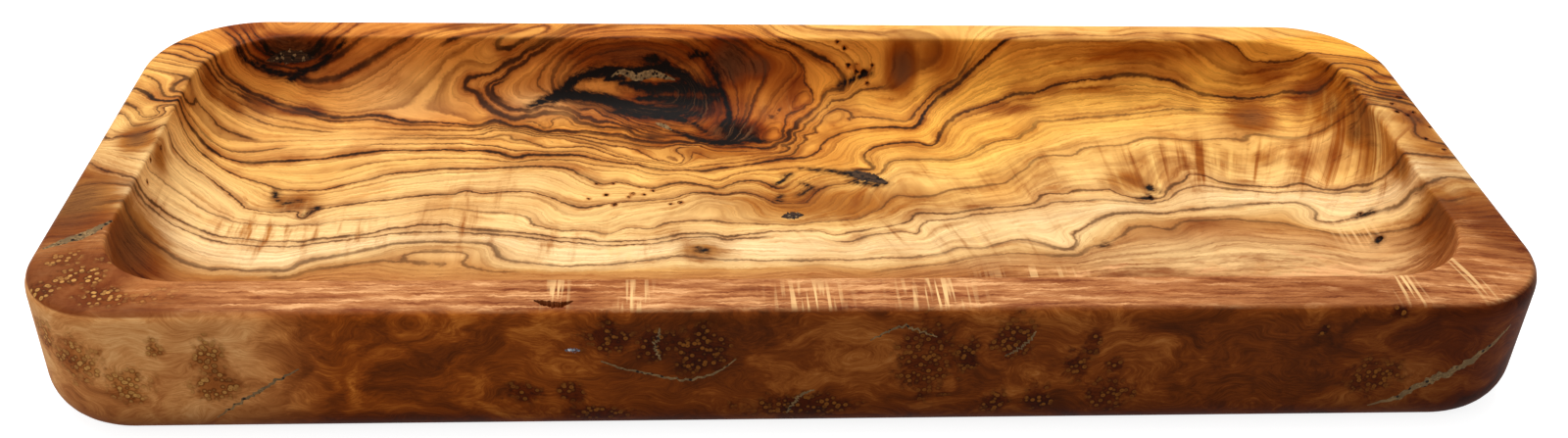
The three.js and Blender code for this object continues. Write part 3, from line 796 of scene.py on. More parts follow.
# %% Black strokes in the knot and small dark marks: places and half widths
STROKES = (
    ((-51.8, 51.6, 0.3), (-48.8, 52.4, 0.8), (-44.6, 53.2, 1.3), (-41.2, 53.4, 1.2), (-36.4, 53.6, 0.9),
     (-33, 53.8, 1.0), (-29.4, 54.4, 1.1), (-26.4, 53.8, 1.2), (-23.6, 52.2, 1.3), (-20.6, 49.8, 1.2),
     (-17, 48.6, 0.9), (-13.6, 48, 0.3)),
    ((-43.6, 52, 0.2), (-38.8, 51, 0.6), (-35.4, 50, 0.9), (-31.2, 49.2, 0.9), (-27, 49.8, 1.2),
     (-23.6, 49.2, 1.4)),
    ((-33.6, 56.6, 0.3), (-30.6, 56.6, 0.7), (-27.6, 55, 0.8)),
    ((-62, 44.4, 0.2), (-59.2, 45.4, 0.6), (-56.4, 46.6, 1.0), (-52.8, 47.6, 1.1), (-49.4, 47.4, 1.2),
     (-45.2, 46.8, 1.2), (-41.2, 45.6, 1.3), (-37.6, 44.4, 1.5), (-34, 43.2, 1.6), (-29.4, 42.8, 1.5),
     (-24.8, 42.8, 1.2), (-20, 41.8, 0.6)),
    ((-55.8, 47.4, 0.5), (-52.8, 49.6, 0.8), (-50.6, 51.2, 0.6)),
    ((-35.2, 46.4, 0.3), (-30.6, 46.8, 0.6), (-26.4, 46.2, 0.9), (-22.4, 45.8, 1.0), (-18.8, 45.6, 0.7),
     (-15.4, 46.8, 0.3)),
    ((-41, 43, 0.4), (-37.6, 42.4, 0.7), (-33.4, 41.2, 0.6), (-29.4, 41.6, 0.8), (-25.4, 40.4, 0.8),
     (-21.2, 38.6, 0.5), (-18.4, 35.2, 0.3)),
    ((-20.6, 58.8, 0.2), (-17.6, 56.8, 0.4), (-15.8, 53.4, 0.4), (-14.6, 49.6, 0.4), (-12.6, 43.4, 0.4),
     (-12, 38.6, 0.9)),
    ((-14.2, 38.6, 0.5), (-11.8, 35.2, 1.6), (-10.6, 32.2, 2.2), (-7.4, 31.4, 1.4), (-4, 30.2, 0.4)),
    ((-11, 30.6, 1.6), (-15.6, 29.6, 1.0), (-20.2, 31, 0.7), (-23.6, 34, 0.5), (-26.4, 35.6, 0.3)),
    ((-21.8, 57.6, 0.4), (-18.2, 57.6, 0.6), (-17, 55, 0.3)),
    ((23, 53.5, 0.2), (19, 51.8, 0.3), (15.5, 50.3, 0.2)),
    ((4, 18, 0.1), (12, 16.6, 0.5), (17, 14.8, 0.9), (23, 11.5, 0.6)),
    ((15, 12.5, 0.3), (21, 10.6, 0.4)),
    ((-2.8, 10.4, 0.2), (-1.6, 11.4, 0.3), (0.2, 14.6, 0.4), (1.4, 15.6, 0.2)),
    ((-1.4, 6.2, 0.2), (-2, 4.2, 0.4)),
    ((2.4, 6.2, 0.2), (6, 9.4, 0.3), (4, 11.4, 0.2)),
    ((85.5, 9.5, 0.8), (86.5, 8, 0.4)),
    ((84, 5, 0.8), (82, 4.8, 0.3)),
    ((130, -5.5, 0.5), (133, -6.5, 0.2)),
    ((131, -15.5, 0.6), (130, -17, 0.3)),
    ((69.5, -14, 0.4), (68.6, -14.6, 0.2)),
    ((-116, 8.4, 0.1), (-114.6, 4.4, 0.2)),
    ((-113, 3.2, 0.1), (-109.6, 4.4, 0.15)),
    ((-107.6, -1.6, 0.2), (-105, 1.6, 0.1)),
    ((-137, 54.2, 0.4), (-133.5, 52.5, 0.6), (-127.8, 52.8, 0.6), (-119.8, 51.5, 0.6),
     (-112.5, 54.8, 0.6), (-106.5, 61, 0.4)),
    ((-129.5, 59, 0.5), (-126.5, 56.8, 0.7), (-119.8, 56, 0.6), (-113.8, 57.8, 0.7), (-110.8, 61, 0.5)),
    ((-20.5, -15.2, 0.5), (-19, -16, 0.3)),
)
PINHOLES = (
    (16.4, 59.8, 0.5), (17.6, 55, 0.55), (19.8, 53.8, 0.6), (21.6, 53.2, 0.85), (22.2, 50.8, 0.4),
    (19.8, 55.6, 0.3), (14.6, 61.4, 0.4), (23.6, 55, 0.35), (154, 19.4, 0.4), (156.8, 22.4, 0.6),
    (153.4, 15.8, 0.5), (155.2, 14.2, 0.35), (157.2, 15.6, 0.5), (158.8, 8.6, 0.35), (155.6, 3.4, 0.35),
    (158, -1.6, 0.4), (130.4, -5.2, 0.5), (131, -15.6, 0.6), (84.4, 5.2, 0.5), (-146.5, -3, 0.4),
    (-145, 4, 0.45), (-143.6, -8, 0.35), (-45.2, 5, 0.3), (-43.6, 11.4, 0.35), (-41.4, 6.6, 0.45),
    (-39.4, 2.4, 0.5), (-36.2, 5.6, 0.3), (-35.4, 7, 0.4), (-32.8, 6.8, 0.3), (-30.8, 8.4, 0.3),
    (-26.6, 2.8, 0.3), (-24.4, 3.4, 0.45), (-40, 11.4, 0.3))


def stroke_field(places):
    """How far a place lies inside the nearest stroke, in millimetres"""
    field = np.full(len(places), NO_MARK)
    for path in STROKES:
        for start, end in zip(path, path[1:]):
            way = np.array(end[:2]) - np.array(start[:2])
            away = places - np.array(start[:2])
            share = np.clip(away @ way / (way @ way), 0, 1)
            gap = np.linalg.norm(away - share[:, None] * way, axis=1)
            field = np.maximum(field, start[2] + (end[2] - start[2]) * share - gap)
    return field


def pinhole_field(places):
    """How far a place lies inside the nearest pinhole, in millimetres"""
    field = np.full(len(places), NO_MARK)
    for x, y, size in PINHOLES:
        field = np.maximum(field, size - np.hypot(places[:, 0] - x, places[:, 1] - y))
    return field


# %% [markdown]
# ## Rays, and everything onto the tray
# The rays that shimmer across the grain lie in a fan: upright at the right of the middle, leaning outward
# to both sides. Straight stripes would be simpler, but would not lean. Dividing the distance from the
# fan's upright ray by a number that grows with the height in the plane gives each ray one number from
# end to end. All numbers of the figure are stored on the tray once its pockets are cut.

# %% Store the figure on a piece
FAN_MIDDLE, FAN_FOOT, FAN_REACH = 80.0, 10, (-30, 40)
RIGHT_LEAN, LEFT_LEAN, LEFT_LEAN_FROM = 0.0125, 0.006, (-40, 30)
RING_SLOPE = 0.35
PACE_LIMITS = (0.12, 6)
TOP_DEPTH, FLECK_DEPTH = 1, 2
BURL_FROM, BURL_EDGE, RIM_BURL_DEPTH = (38, 56), (0.0, 0.3), 5
TOP_MARKS = {
    "brown": BROWN_PATCHES, "pale": PALE_PATCHES, "rays": RAY_PATCHES, "char": CHAR_PATCHES}


def fan_ray(places):
    away = places[:, 0] - FAN_MIDDLE
    lean = np.where(away > 0, RIGHT_LEAN, LEFT_LEAN * smooth_step(places[:, 0], *LEFT_LEAN_FROM))
    return FAN_MIDDLE + away / (1 + lean * np.clip(places[:, 1] - FAN_FOOT, *FAN_REACH))


def store_figure(piece):
    points = mesh_points(piece)
    places, depth = unroll(points)
    ring, pace = ring_field(places)
    on_top = depth < TOP_DEPTH
    store(piece, "place", np.column_stack((places, depth)))
    store(piece, "ring", ring + RING_SLOPE * depth)
    store(piece, "pace", np.clip(pace, *PACE_LIMITS))
    store(piece, "ray", fan_ray(places))
    for name, patches in TOP_MARKS.items():
        store(piece, name, soft_patches(places, patches) * on_top)
    store(piece, "stroke", np.where(on_top, stroke_field(places), NO_MARK))
    store(piece, "pin", np.where(on_top, pinhole_field(places), NO_MARK))
    store(piece, "fleck", soft_patches(places, CROSS_FLECKS) * (depth < FLECK_DEPTH))
    front_side = smooth_step(-points[:, 1], *BURL_FROM) * smooth_step(depth, *BURL_EDGE)
    rim_burl = soft_patches(points[:, :2], RIM_BURL) * (points[:, 2] > HEIGHT - RIM_BURL_DEPTH)
    store(piece, "burl", np.maximum(front_side, rim_burl))
    store(piece, "eyes", eye_field(points))


# %% [markdown]
# ## Effects shared by the finishes
# Oiled wood, putty and bark share a few effects: a fibre pattern drawn along the growth rings, a line at
# a given ring, an oil film, and grit. They could be wired anew in each material, but then a change would
# have to be made several times. Each is a node group that gives out values or masks only, so the same
# group serves several materials and is set with plain numbers where it is used.

# %% Colours and small shader helpers


def colour(shade):
    """Screen values from 0 to 255 as linear colour"""
    shares = np.array(shade) / 255
    linear = np.where(shares <= 0.04045, shares / 12.92, ((shares + 0.055) / 1.055) ** 2.4)
    return (*linear.tolist(), 1.0)


def step_up(value, low, high):
    """0 up to the low value, a smooth rise, 1 from the high value on"""
    node = add_node(
        "ShaderNodeMapRange", {"Value": value, "From Min": low, "From Max": high},
        interpolation_type="SMOOTHSTEP", clamp=False)
    return node.outputs[0]


def noise(vector, scale, detail=2.0, roughness=0.5, distortion=0.0):
    node = add_node("ShaderNodeTexNoise", {
        "Vector": vector, "Scale": scale, "Detail": detail, "Roughness": roughness,
        "Distortion": distortion})
    return node.outputs[0]


def mix(share, first, second, way="MIX"):
    node = add_node(
        "ShaderNodeMix", {0: share, 6: first, 7: second}, data_type="RGBA", blend_type=way)
    return node.outputs[2]


def multiply(share, base, factors):
    """Base times three factors, by a share"""
    return mix(share, base, (*factors, 1.0), "MULTIPLY")


def darken(share, base, shade):
    """Base times a colour, by a share"""
    return mix(share, base, colour(shade), "MULTIPLY")


def ramp(value, stops, reach=None):
    """A colour for each value; stops are value, red, green, blue"""
    low, high = reach or (stops[0][0], stops[-1][0])
    share = calc("DIVIDE", minus(value, low), high - low)
    node = add_node("ShaderNodeValToRGB", {0: share})
    elements = node.color_ramp.elements
    while len(elements) < len(stops):
        elements.new(1.0)
    for element, (place, *shade) in zip(elements, stops):
        element.position = (place - low) / (high - low)
        element.color = colour(shade)
    return node.outputs[0]


def use(group, **values):
    inputs = {label(name): value for name, value in values.items()}
    return add_node("ShaderNodeGroup", inputs, node_tree=group).outputs


# %% Group: one growth line
CORE_SHARE, FRINGE_SHARE = 0.25, 3.2
TAIL_STEP = (-0.1, 0.05)
END_FADE = 5.0


def line_group():
    """Crisp line at a ring number, and the brown that fades away behind it"""
    tree, given, leave = new_tree("growth_line", "Shader", dict(
        ring="Float", pace="Float", along="Float", level="Float", width="Float", fade="Float",
        start="Float", end="Float"), dict(line="Float", shade="Float"))
    away = calc("DIVIDE", minus(given["Ring"], given["Level"]), given["Pace"])
    gap = calc("ABSOLUTE", away)
    core = times(given["Width"], CORE_SHARE)
    crisp = flip(step_up(gap, core, given["Width"]))
    fringe = flip(step_up(gap, 0.0, times(given["Width"], FRINGE_SHARE)))
    behind = calc("DIVIDE", away, given["Fade"])
    tail = add_node("ShaderNodeClamp", {0: flip(behind)}).outputs[0]
    tail = times(tail, step_up(behind, *TAIL_STEP))
    tail = calc("MAXIMUM", tail, fringe)
    come = step_up(given["Along"], minus(given["Start"], END_FADE), given["Start"])
    go = step_up(given["Along"], given["End"], plus(given["End"], END_FADE))
    window = times(come, flip(go))
    link(times(crisp, window), leave["Line"])
    link(times(tail, window), leave["Shade"])
    return tree


GROWTH_LINE = line_group()
print(GROWTH_LINE.name, "nodes:", len(GROWTH_LINE.nodes))

# %% Group: fibres drawn along the rings
WIDE_YEARS, FINE_YEARS, FINE_SHARE = 0.42, 1.3, 0.7
PORE_STEP = (0.62, 0.72)


def grain_noise(along, ring, stretch, detail=4.0, roughness=0.6, deep=0.0):
    """Noise drawn out along the grain; stretch is how fast it passes along and across"""
    place = combine(times(along, stretch[0]), times(ring, stretch[1]), deep)
    return noise(place, 1.0, detail, roughness)


def year_bands(ring, pace):
    """Thin bands of uneven strength, each crisp on one side and fading on the other"""
    cell = times(ring, pace)
    share = calc("FRACT", cell)
    strength = add_node(
        "ShaderNodeTexWhiteNoise", {"W": calc("FLOOR", cell)}, noise_dimensions="1D")
    strength = calc("POWER", strength.outputs["Value"], 1.2)
    fall = calc("POWER", flip(share), 4.0)
    return times(times(fall, step_up(share, 0.0, 0.08)), strength)


def fibre_group():
    """Fine fibres, short dark pores and faint minor growth lines"""
    tree, given, leave = new_tree(
        "wood_fibre", "Shader", dict(ring="Float", along="Float", depth="Float"),
        dict(fibre="Float", pores="Float", minor="Float"))
    along, ring = given["Along"], given["Ring"]
    deep = times(given["Depth"], 0.5)
    slow = grain_noise(along, ring, (0.02, 0.12), 3.0)
    bent = fit(slow, 3.0, ring)
    fine = times(year_bands(bent, FINE_YEARS), FINE_SHARE)
    bands = calc("MAXIMUM", year_bands(bent, WIDE_YEARS), fine)
    pores = grain_noise(along, ring, (0.22, 4.0), 2.0, 0.5, deep)
    link(grain_noise(along, ring, (0.05, 1.7), 4.0, 0.65, deep), leave["Fibre"])
    link(step_up(pores, *PORE_STEP), leave["Pores"])
    link(bands, leave["Minor"])
    return tree


FIBRE = fibre_group()
print(FIBRE.name, "nodes:", len(FIBRE.nodes))

# %% Group: grit and pits
PIT_SCALE, PIT_EDGE = 0.3, (0.2, 0.36)


def cells_of(place, scale):
    return add_node("ShaderNodeTexVoronoi", {"Vector": place, "Scale": scale}).outputs


def first_part(shade):
    return add_node("ShaderNodeSeparateColor", {0: shade}).outputs[0]


def grit_group():
    """Grains of filler and the small pits between them"""
    tree, given, leave = new_tree(
        "grit", "Shader", dict(place="Vector", scale="Float"), dict(grain="Float", pits="Float"))
    grains = cells_of(given["Place"], given["Scale"])
    pits = cells_of(given["Place"], times(given["Scale"], PIT_SCALE))
    link(first_part(grains["Color"]), leave["Grain"])
    link(flip(step_up(pits["Distance"], *PIT_EDGE)), leave["Pits"])
    return tree


GRIT = grit_group()
print(GRIT.name, "nodes:", len(GRIT.nodes))

# %% Group: oil film
WEAR_SCALE, WEAR_AMOUNT = 60.0, 0.14
GRAIN_SCALE, GRAIN_AMOUNT = 2600.0, 0.35
FIBRE_ROUGHNESS = 0.12


def oil_group():
    """Roughness and height of a hand-oiled surface from its fibre"""
    tree, given, leave = new_tree(
        "oil_film", "Shader", dict(place="Vector", fibre="Float", dryness="Float"),
        dict(roughness="Float", height="Float"))
    worn = fit(noise(given["Place"], WEAR_SCALE, 3.0), WEAR_AMOUNT, given["Dryness"])
    link(fit(given["Fibre"], FIBRE_ROUGHNESS, worn), leave["Roughness"])
    fine = noise(given["Place"], GRAIN_SCALE)
    link(fit(fine, GRAIN_AMOUNT, given["Fibre"]), leave["Height"])
    return tree


OIL = oil_group()
print(OIL.name, "nodes:", len(OIL.nodes))

# %% [markdown]
# ## Finishes
# The tray is oiled, so its wood has a soft sheen, and the putty, the dead knots and the bark are drier.
# A picture laid over the tray could show all this, but it would blur close up and fit no other tray. Each
# finish here is procedural. The wood reads the ring numbers and patches stored on the tray, so every line
# follows the real figure. The small fills take their pattern from their place in space.

# %% A new material
FILL_SPECULAR, WOOD_SPECULAR = 0.12, 0.06


def new_material(name, specular=FILL_SPECULAR):
    material = bpy.data.materials.get(name) or bpy.data.materials.new(name)
    material.use_nodes = True
    tree = material.node_tree
    shader = tree.nodes["Principled BSDF"].inputs
    shader["Specular IOR Level"].default_value = specular
    position = add_node("ShaderNodeTexCoord", tree=tree).outputs["Object"]
    return material, shader, position


def surface(shader, base, roughness, height, strength, depth):
    """Link a colour, a roughness and a relief of a given depth in metres"""
    link(base, shader["Base Color"])
    link(roughness, shader["Roughness"])
    relief = {"Strength": strength, "Distance": depth, "Height": height}
    link(add_node("ShaderNodeBump", relief).outputs[0], shader["Normal"])


# %% Growth lines to draw: ring, start, end, width, fade, strength
LINES = (
    (-24, -108, -62, 0.7, 4, 0.5), (-24, 20, 58, 0.6, -3, 0.4), (-24, 58, 152, 0.7, -5, 0.55),
    (-20, -150, -62, 0.8, -3, 0.6), (-20, -60, 58, 0.5, -2.5, 0.55), (-20, 58, 160, 0.7, 2, 0.65),
    (-11.2, -146, -8, 0.5, 2, 0.72), (-11.2, 12, 134, 0.5, 2.5, 0.6), (-8.8, -160, -8, 0.6, -2.5, 0.8),
    (-8.8, -8, 26, 0.4, 1, 0.65), (-8.8, 26, 160, 0.6, 2.5, 0.75), (-3, -150, -60, 0.4, 3, 0.5),
    (-3, -60, 22, 0.45, 4, 0.65), (-3, 22, 150, 0.7, 5, 0.5), (5, -150, 22, 0.45, 3, 0.85),
    (5, 22, 104, 0.7, 5, 0.6), (15, -150, -2, 0.55, 4, 0.9), (15, 18, 70, 0.7, -5, 0.9),
    (15, 60, 156, 0.7, 6, 0.9), (24, -160, -100, 0.8, 6, 1.0), (24, -100, 60, 0.75, 3.5, 1.0),
    (24, 60, 160, 0.55, -6, 0.8), (26, 0, 46, 0.5, 3, 0.75), (28, -160, -120, 0.5, 3, 0.7),
    (30, -160, -128, 0.6, 4, 0.8), (30, -92, -33, 0.4, 3, 0.65), (30, 0, 24, 0.5, 3, 0.75),
    (33, -160, -110, 0.5, 4, 0.65), (33, -70, -24, 0.4, 2, 0.7), (36, -160, -130, 0.7, 3, 0.85),
    (37, -150, -20, 0.6, -1.5, 0.7), (38, -160, 20, 0.8, -2.5, 0.95), (41.5, -80, -32, 1.2, 4, 0.92),
    (45, -80, -30, 1.0, 4, 0.88), (48, -48, -10, 0.6, 3, 0.8), (50, -60, -8, 0.4, 3, 0.55),
    (52, -60, -8, 0.6, 3, 0.7), (54, -56, -8, 0.5, 3, 0.4), (56, -54, -15, 0.6, 3, 0.45),
    (20, -100, 0, 0.35, 2, 0.6), (27, -95, -5, 0.35, 2, 0.65), (31.5, -90, -20, 0.3, 2, 0.6),
    (34.8, -90, -10, 0.35, 2, 0.65), (40, -60, 0, 0.35, 2, 0.6), (43, -8, 12, 0.5, 3, 0.8),
    (47, -14, 0, 0.5, 5, 0.7), (46, -140, -70, 1.0, 4, 0.92), (48.5, -140, -100, 0.8, 3, 0.9),
    (51, -135, -100, 0.8, 3, 0.95), (53, -132, -104, 0.6, 2, 0.9), (17, -162, -149, 0.6, 3, 0.8),
    (12, -162, -153, 0.6, 3, 0.8), (4, -162, -155, 0.5, 3, 0.7), (-13, -162, -149, 0.5, 3, 0.5),
    (19, 144, 162, 0.6, 4, 0.85), (10, 146, 164, 0.5, 5, 0.75), (7, 146, 164, 0.8, 5, 0.8),
    (3, 147, 164, 0.6, 6, 0.75), (0, 146, 164, 0.9, 6, 0.8), (-5, 147, 164, 0.6, 5, 0.75))


def line_masks(ring, pace, along):
    """The strongest line at a place, and the strongest brown behind a line"""
    line, shade = None, None
    for level, start, end, width, fade, strength in LINES:
        out = use(GROWTH_LINE, ring=ring, pace=pace, along=along, level=level, width=width,
                  fade=fade, start=start, end=end)
        here = times(out["Line"], strength)
        behind = times(out["Shade"], strength)
        line = here if line is None else calc("MAXIMUM", line, here)
        shade = behind if shade is None else calc("MAXIMUM", shade, behind)
    return line, shade


print("lines to draw:", len(LINES))

# %% [markdown]
# ## Olive wood from above
# Seen from above, the wood is pale near the front and golden towards the back, with brown stains, rays
# that shimmer, fine fibres and pores, and the dark lines over it all. One ramp over the ring number gives
# the ground colour, and each effect then darkens or lightens it by its own mask, one after the other, as
# a painter glazes. That keeps each effect apart, so one can be changed without the rest.

# %% Colours of the wood, as screen values, and the zones they hold for
BAND_REACH = (-80.0, 70.0)
BANDS = (
    (-75, 150, 92, 52), (-60, 192, 126, 74), (-48, 200, 135, 80), (-34, 186, 123, 66),
    (-26, 192, 129, 68), (-23.5, 208, 150, 80), (-22, 245, 204, 136), (-16, 251, 216, 160),
    (-10, 252, 211, 146), (-4, 251, 207, 136), (2, 250, 204, 131), (10, 248, 196, 116),
    (18, 247, 190, 104), (26, 246, 186, 98), (34, 243, 180, 92), (39, 238, 164, 72), (48, 224, 143, 60),
    (64, 206, 127, 52))
CLOUD_SHADE, PALE_WOOD, BAND_SHADE = (225, 205, 185), (252, 214, 148), (218, 184, 148)
STAIN, DEEP_STAIN = (178, 138, 90), (116, 94, 76)
RAY_GOLD, RAY_SHADE = (252, 210, 136), (186, 140, 88)
PALE_STREAK, DARK_STREAK = (236, 176, 118), (180, 136, 110)
FIBRE_SHADE, FIBRE_GLINT = (168, 122, 86), (1.22, 1.3, 1.42)
WARMTH, PORE_SHADE = (1.03, 0.88, 0.46), (150, 110, 80)
LINE_SHADE, MINOR_LINE, LINE_DARK = (172, 118, 76), (128, 80, 48), (48, 26, 12)
FLECK_PALE = (244, 198, 134)
FRONT_RINGS, WARM_RINGS, MINOR_RINGS = (-30.0, -22.0), (-16.0, 6.0), (-24.0, 30.0)
WARM_ALONG, BACK_RIM_AT = (-60.0, 60.0), (61.8, 63.2)

# %% Stains, rays and streaks


def stained(marks, base, along, ring):
    """Faint bands along the grain, and brown stains that are ragged along it, with painted shade on the
    back wall
    """
    drawn = grain_noise(along, ring, (0.09, 0.5))
    drawn = fit(drawn, 1.6, -0.8)
    ragged = plus(marks["brown"], times(drawn, 0.45))
    base = darken(times(step_up(drawn, 0.0, 0.4), 0.7), base, BAND_SHADE)
    base = darken(step_up(ragged, 0.1, 0.8), base, STAIN)
    return darken(step_up(ragged, 0.75, 1.5), base, DEEP_STAIN)


def rayed(marks, base, ring):
    """Bright and dark rays across the grain"""
    shimmer = grain_noise(marks["ray"], ring, (0.3, 0.05))
    shimmer = times(minus(shimmer, 0.5), marks["rays"])
    base = mix(times(step_up(shimmer, 0.0, 0.2), 0.65), base, colour(RAY_GOLD))
    return darken(step_up(times(shimmer, -1.0), 0.0, 0.2), base, RAY_SHADE)


def streaked(marks, base, along, ring, front_zone):
    """Pale and dark streaks of the browner wood at the front"""
    streak = grain_noise(along, ring, (0.055, 0.4), roughness=0.7)
    streak = times(streak, front_zone)
    pale = minus(step_up(streak, 0.46, 0.66), marks["brown"])
    base = mix(step_up(pale, 0.0, 1.2), base, colour(PALE_STREAK))
    dark = step_up(minus(front_zone, streak), 0.46, 0.68)
    return darken(times(dark, 0.9), base, DARK_STREAK)


# %% Growth lines and the whole colour from above


def lined(marks, base, position, along, ring, minor, back_rim):
    """Drawn lines with the brown behind them, minor lines and pale flecks across the grain"""
    swell = step_up(noise(position, 110.0), 0.3, 0.7)
    swell = fit(swell, 0.9, 0.45)
    line, shade = line_masks(ring, times(marks["pace"], swell), along)
    minor = times(minor, fit(step_up(ring, *MINOR_RINGS), 0.6, 0.4))
    patchy = step_up(noise(position, 130.0), 0.25, 0.6)
    line = times(line, fit(patchy, 0.35, 0.65))
    line = times(line, fit(back_rim, -0.5, 1.0))
    base = darken(times(shade, fit(patchy, 0.5, 0.42)), base, LINE_SHADE)
    base = darken(minor, base, MINOR_LINE)
    stripes = grain_noise(along, ring, (0.85, 0.05), 1.0, 0.5)
    fleck = times(marks["fleck"], step_up(stripes, 0.5, 0.6))
    base = mix(line, base, colour(LINE_DARK))
    return mix(fleck, base, colour(FLECK_PALE))


def top_colour(marks, parts, position, ring, fibre):
    """Colour of the rim, the hollow and the ends, before the burl front"""
    along = parts["X"]
    base = ramp(ring, BANDS, BAND_REACH)
    base = darken(step_up(noise(position, 35.0, 3.0), 0.45, 0.75), base, CLOUD_SHADE)
    base = mix(times(marks["pale"], 0.7), base, colour(PALE_WOOD))
    base = rayed(marks, stained(marks, base, along, ring), ring)
    front_zone = flip(step_up(ring, *FRONT_RINGS))
    base = streaked(marks, base, along, ring, front_zone)
    contrast = fit(front_zone, 0.45, 0.55)
    dull = times(step_up(fibre["Fibre"], 0.4, 0.8), contrast)
    base = darken(dull, base, FIBRE_SHADE)
    glint = step_up(flip(fibre["Fibre"]), 0.5, 0.85)
    base = multiply(glint, base, FIBRE_GLINT)
    back_rim = step_up(parts["Y"], *BACK_RIM_AT)
    warm = times(step_up(along, *WARM_ALONG), step_up(ring, *WARM_RINGS))
    base = multiply(times(warm, fit(back_rim, -0.7, 1.0)), base, WARMTH)
    base = darken(times(fibre["Pores"], 0.4), base, PORE_SHADE)
    return lined(marks, base, position, along, ring, fibre["Minor"], back_rim)


# %% [markdown]
# ## The black knot
# The big knot on the back wall is dead wood that has turned black along its cracks. Dark paint in one
# even patch would look like a hole. The strokes stored on the tray are drawn out along the grain instead,
# over smoky brown, so that the black frays as it does in the wood.

# %% Colours of the knot
SMOKE, HAIR_SHADE, KNOT_BLACK = (118, 74, 42), (120, 92, 74), (20, 14, 11)
SCORCH, DEEP_SCORCH, STROKE_SHADE = (132, 104, 84), (92, 80, 72), (120, 90, 70)
KNOT_STREAK = (124, 80, 48)
PIN_SHADE, PINHOLE_PAINTED_SHADE = (190, 150, 115), (34, 20, 11)


def knot_colour(marks, base, along, position, ring, fibre):
    """Black strokes drawn out along the grain over the knot, and painted shade inside the pinholes"""
    ragged = grain_noise(along, ring, (0.3, 1.1), roughness=0.65)
    ragged = fit(ragged, 3.0, -1.5)
    ragged = plus(ragged, fit(noise(position, 700.0, 3.0), 1.6, -0.8))
    edge = plus(marks["stroke"], ragged)
    burnt = plus(marks["char"], times(ragged, 0.3))
    smoky = times(step_up(marks["brown"], 0.6, 1.2), 0.5)
    base = mix(smoky, base, colour(SMOKE))
    hair = grain_noise(along, ring, (0.14, 2.4), roughness=0.7)
    hair = times(step_up(hair, 0.46, 0.7), smoky)
    base = darken(times(hair, 2.0), base, HAIR_SHADE)
    base = darken(step_up(burnt, 0.2, 1.0), base, SCORCH)
    base = darken(step_up(burnt, 0.7, 1.4), base, DEEP_SCORCH)
    base = darken(times(step_up(edge, -1.8, 0.3), 0.8), base, STROKE_SHADE)
    base = mix(step_up(edge, -0.6, 0.3), base, colour(KNOT_BLACK))
    streak = times(step_up(fibre, 0.5, 0.66), step_up(burnt, 0.4, 1.0))
    base = mix(times(streak, 0.55), base, colour(KNOT_STREAK))
    pin = marks["pin"]
    base = darken(step_up(pin, -0.8, 0.0), base, PIN_SHADE)
    # Painted shade: each pinhole is painted near black inside, as the shade of a deep hole.
    return mix(step_up(pin, -0.2, 0.15), base, colour(PINHOLE_PAINTED_SHADE))


# %% [markdown]
# ## The burl front
# The front face is cut through burl: red-brown wood with curls, and clusters of small buds, the eyes,
# each a golden dot in a dark ring. The dots could be modelled, but they are sanded flush. A noise bent by
# another noise makes the curls, and a cell pattern that shows only inside the clusters makes the eyes.
# The left end is paler and the right end darker, as on the real tray. The lower edge is darker as
# painted shade, where the under-round turns away from the light.

# %% Colours of the burl
BURL_DARK = (
    (0.2, 56, 23, 3), (0.38, 92, 40, 6), (0.52, 122, 57, 12), (0.65, 158, 88, 32), (0.8, 190, 124, 64))
BURL_LIGHT = (
    (0.2, 130, 70, 30), (0.38, 184, 112, 56), (0.52, 214, 146, 82), (0.65, 234, 174, 110),
    (0.8, 246, 204, 144))
LEFT_GAIN, RIGHT_SHADE, BOTTOM_PAINTED_SHADE = (1.5, 1.45, 1.0), (186, 164, 140), (150, 112, 64)
BURL_STAIN, EYE_RING = (158, 124, 104), (158, 132, 104)
CLUSTER_DARK, CLUSTER_LIGHT = (178, 154, 128), (218, 196, 168)
EYE_DARK, EYE_LIGHT = (134, 78, 26), (208, 150, 78)
LEFT_HALF, LEFT_END, RIGHT_END, BOTTOM_SHADE_RISE = (-0.09, 0.0), (-0.124, -0.088), (0.09, 0.135), (0.0, 0.011)
FLAT_CURLS, FLAT_HAIR = (1.0, 1.0, 1.5), (1.0, 1.0, 4.5)
EYE_SCALE = 840.0


def curls(position):
    """A number that swirls over the face, with fine hair in it"""
    flow = vector_calc("MULTIPLY", position, FLAT_CURLS)
    bent = add_node("ShaderNodeTexNoise", {"Vector": flow, "Scale": 55.0, "Detail": 2.0})
    swirl = vector_calc("ADD", flow, scaled(bent.outputs["Color"], 0.034))
    curl = noise(swirl, 48.0, 3.0, 0.55, 0.8)
    hair = noise(vector_calc("MULTIPLY", swirl, FLAT_HAIR), 340.0, 4.0, 0.75)
    return plus(curl, fit(hair, 0.5, -0.25))


def burl_eyes(marks, base, position, left_end):
    """Darker clusters, and in them golden dots, each with a dark ring"""
    ragged = fit(noise(position, 330.0, 3.0, 0.6), 1.9, -0.95)
    cluster = step_up(plus(marks["eyes"], ragged), -0.25, 0.5)
    shade = mix(left_end, colour(CLUSTER_DARK), colour(CLUSTER_LIGHT))
    base = mix(cluster, base, mix(1.0, base, shade, "MULTIPLY"))
    cells = cells_of(position, EYE_SCALE)
    lit = step_up(first_part(cells["Color"]), -0.4, 0.6)
    edge = cells["Distance"]
    dot = flip(step_up(edge, 0.28, 0.5))
    dot = times(dot, fit(step_up(edge, 0.06, 0.2), 0.5, 0.5))
    ring = flip(step_up(edge, 0.4, 0.7))
    base = darken(times(ring, cluster), base, EYE_RING)
    dot = times(times(dot, lit), cluster)
    return mix(dot, base, mix(left_end, colour(EYE_DARK), colour(EYE_LIGHT)))


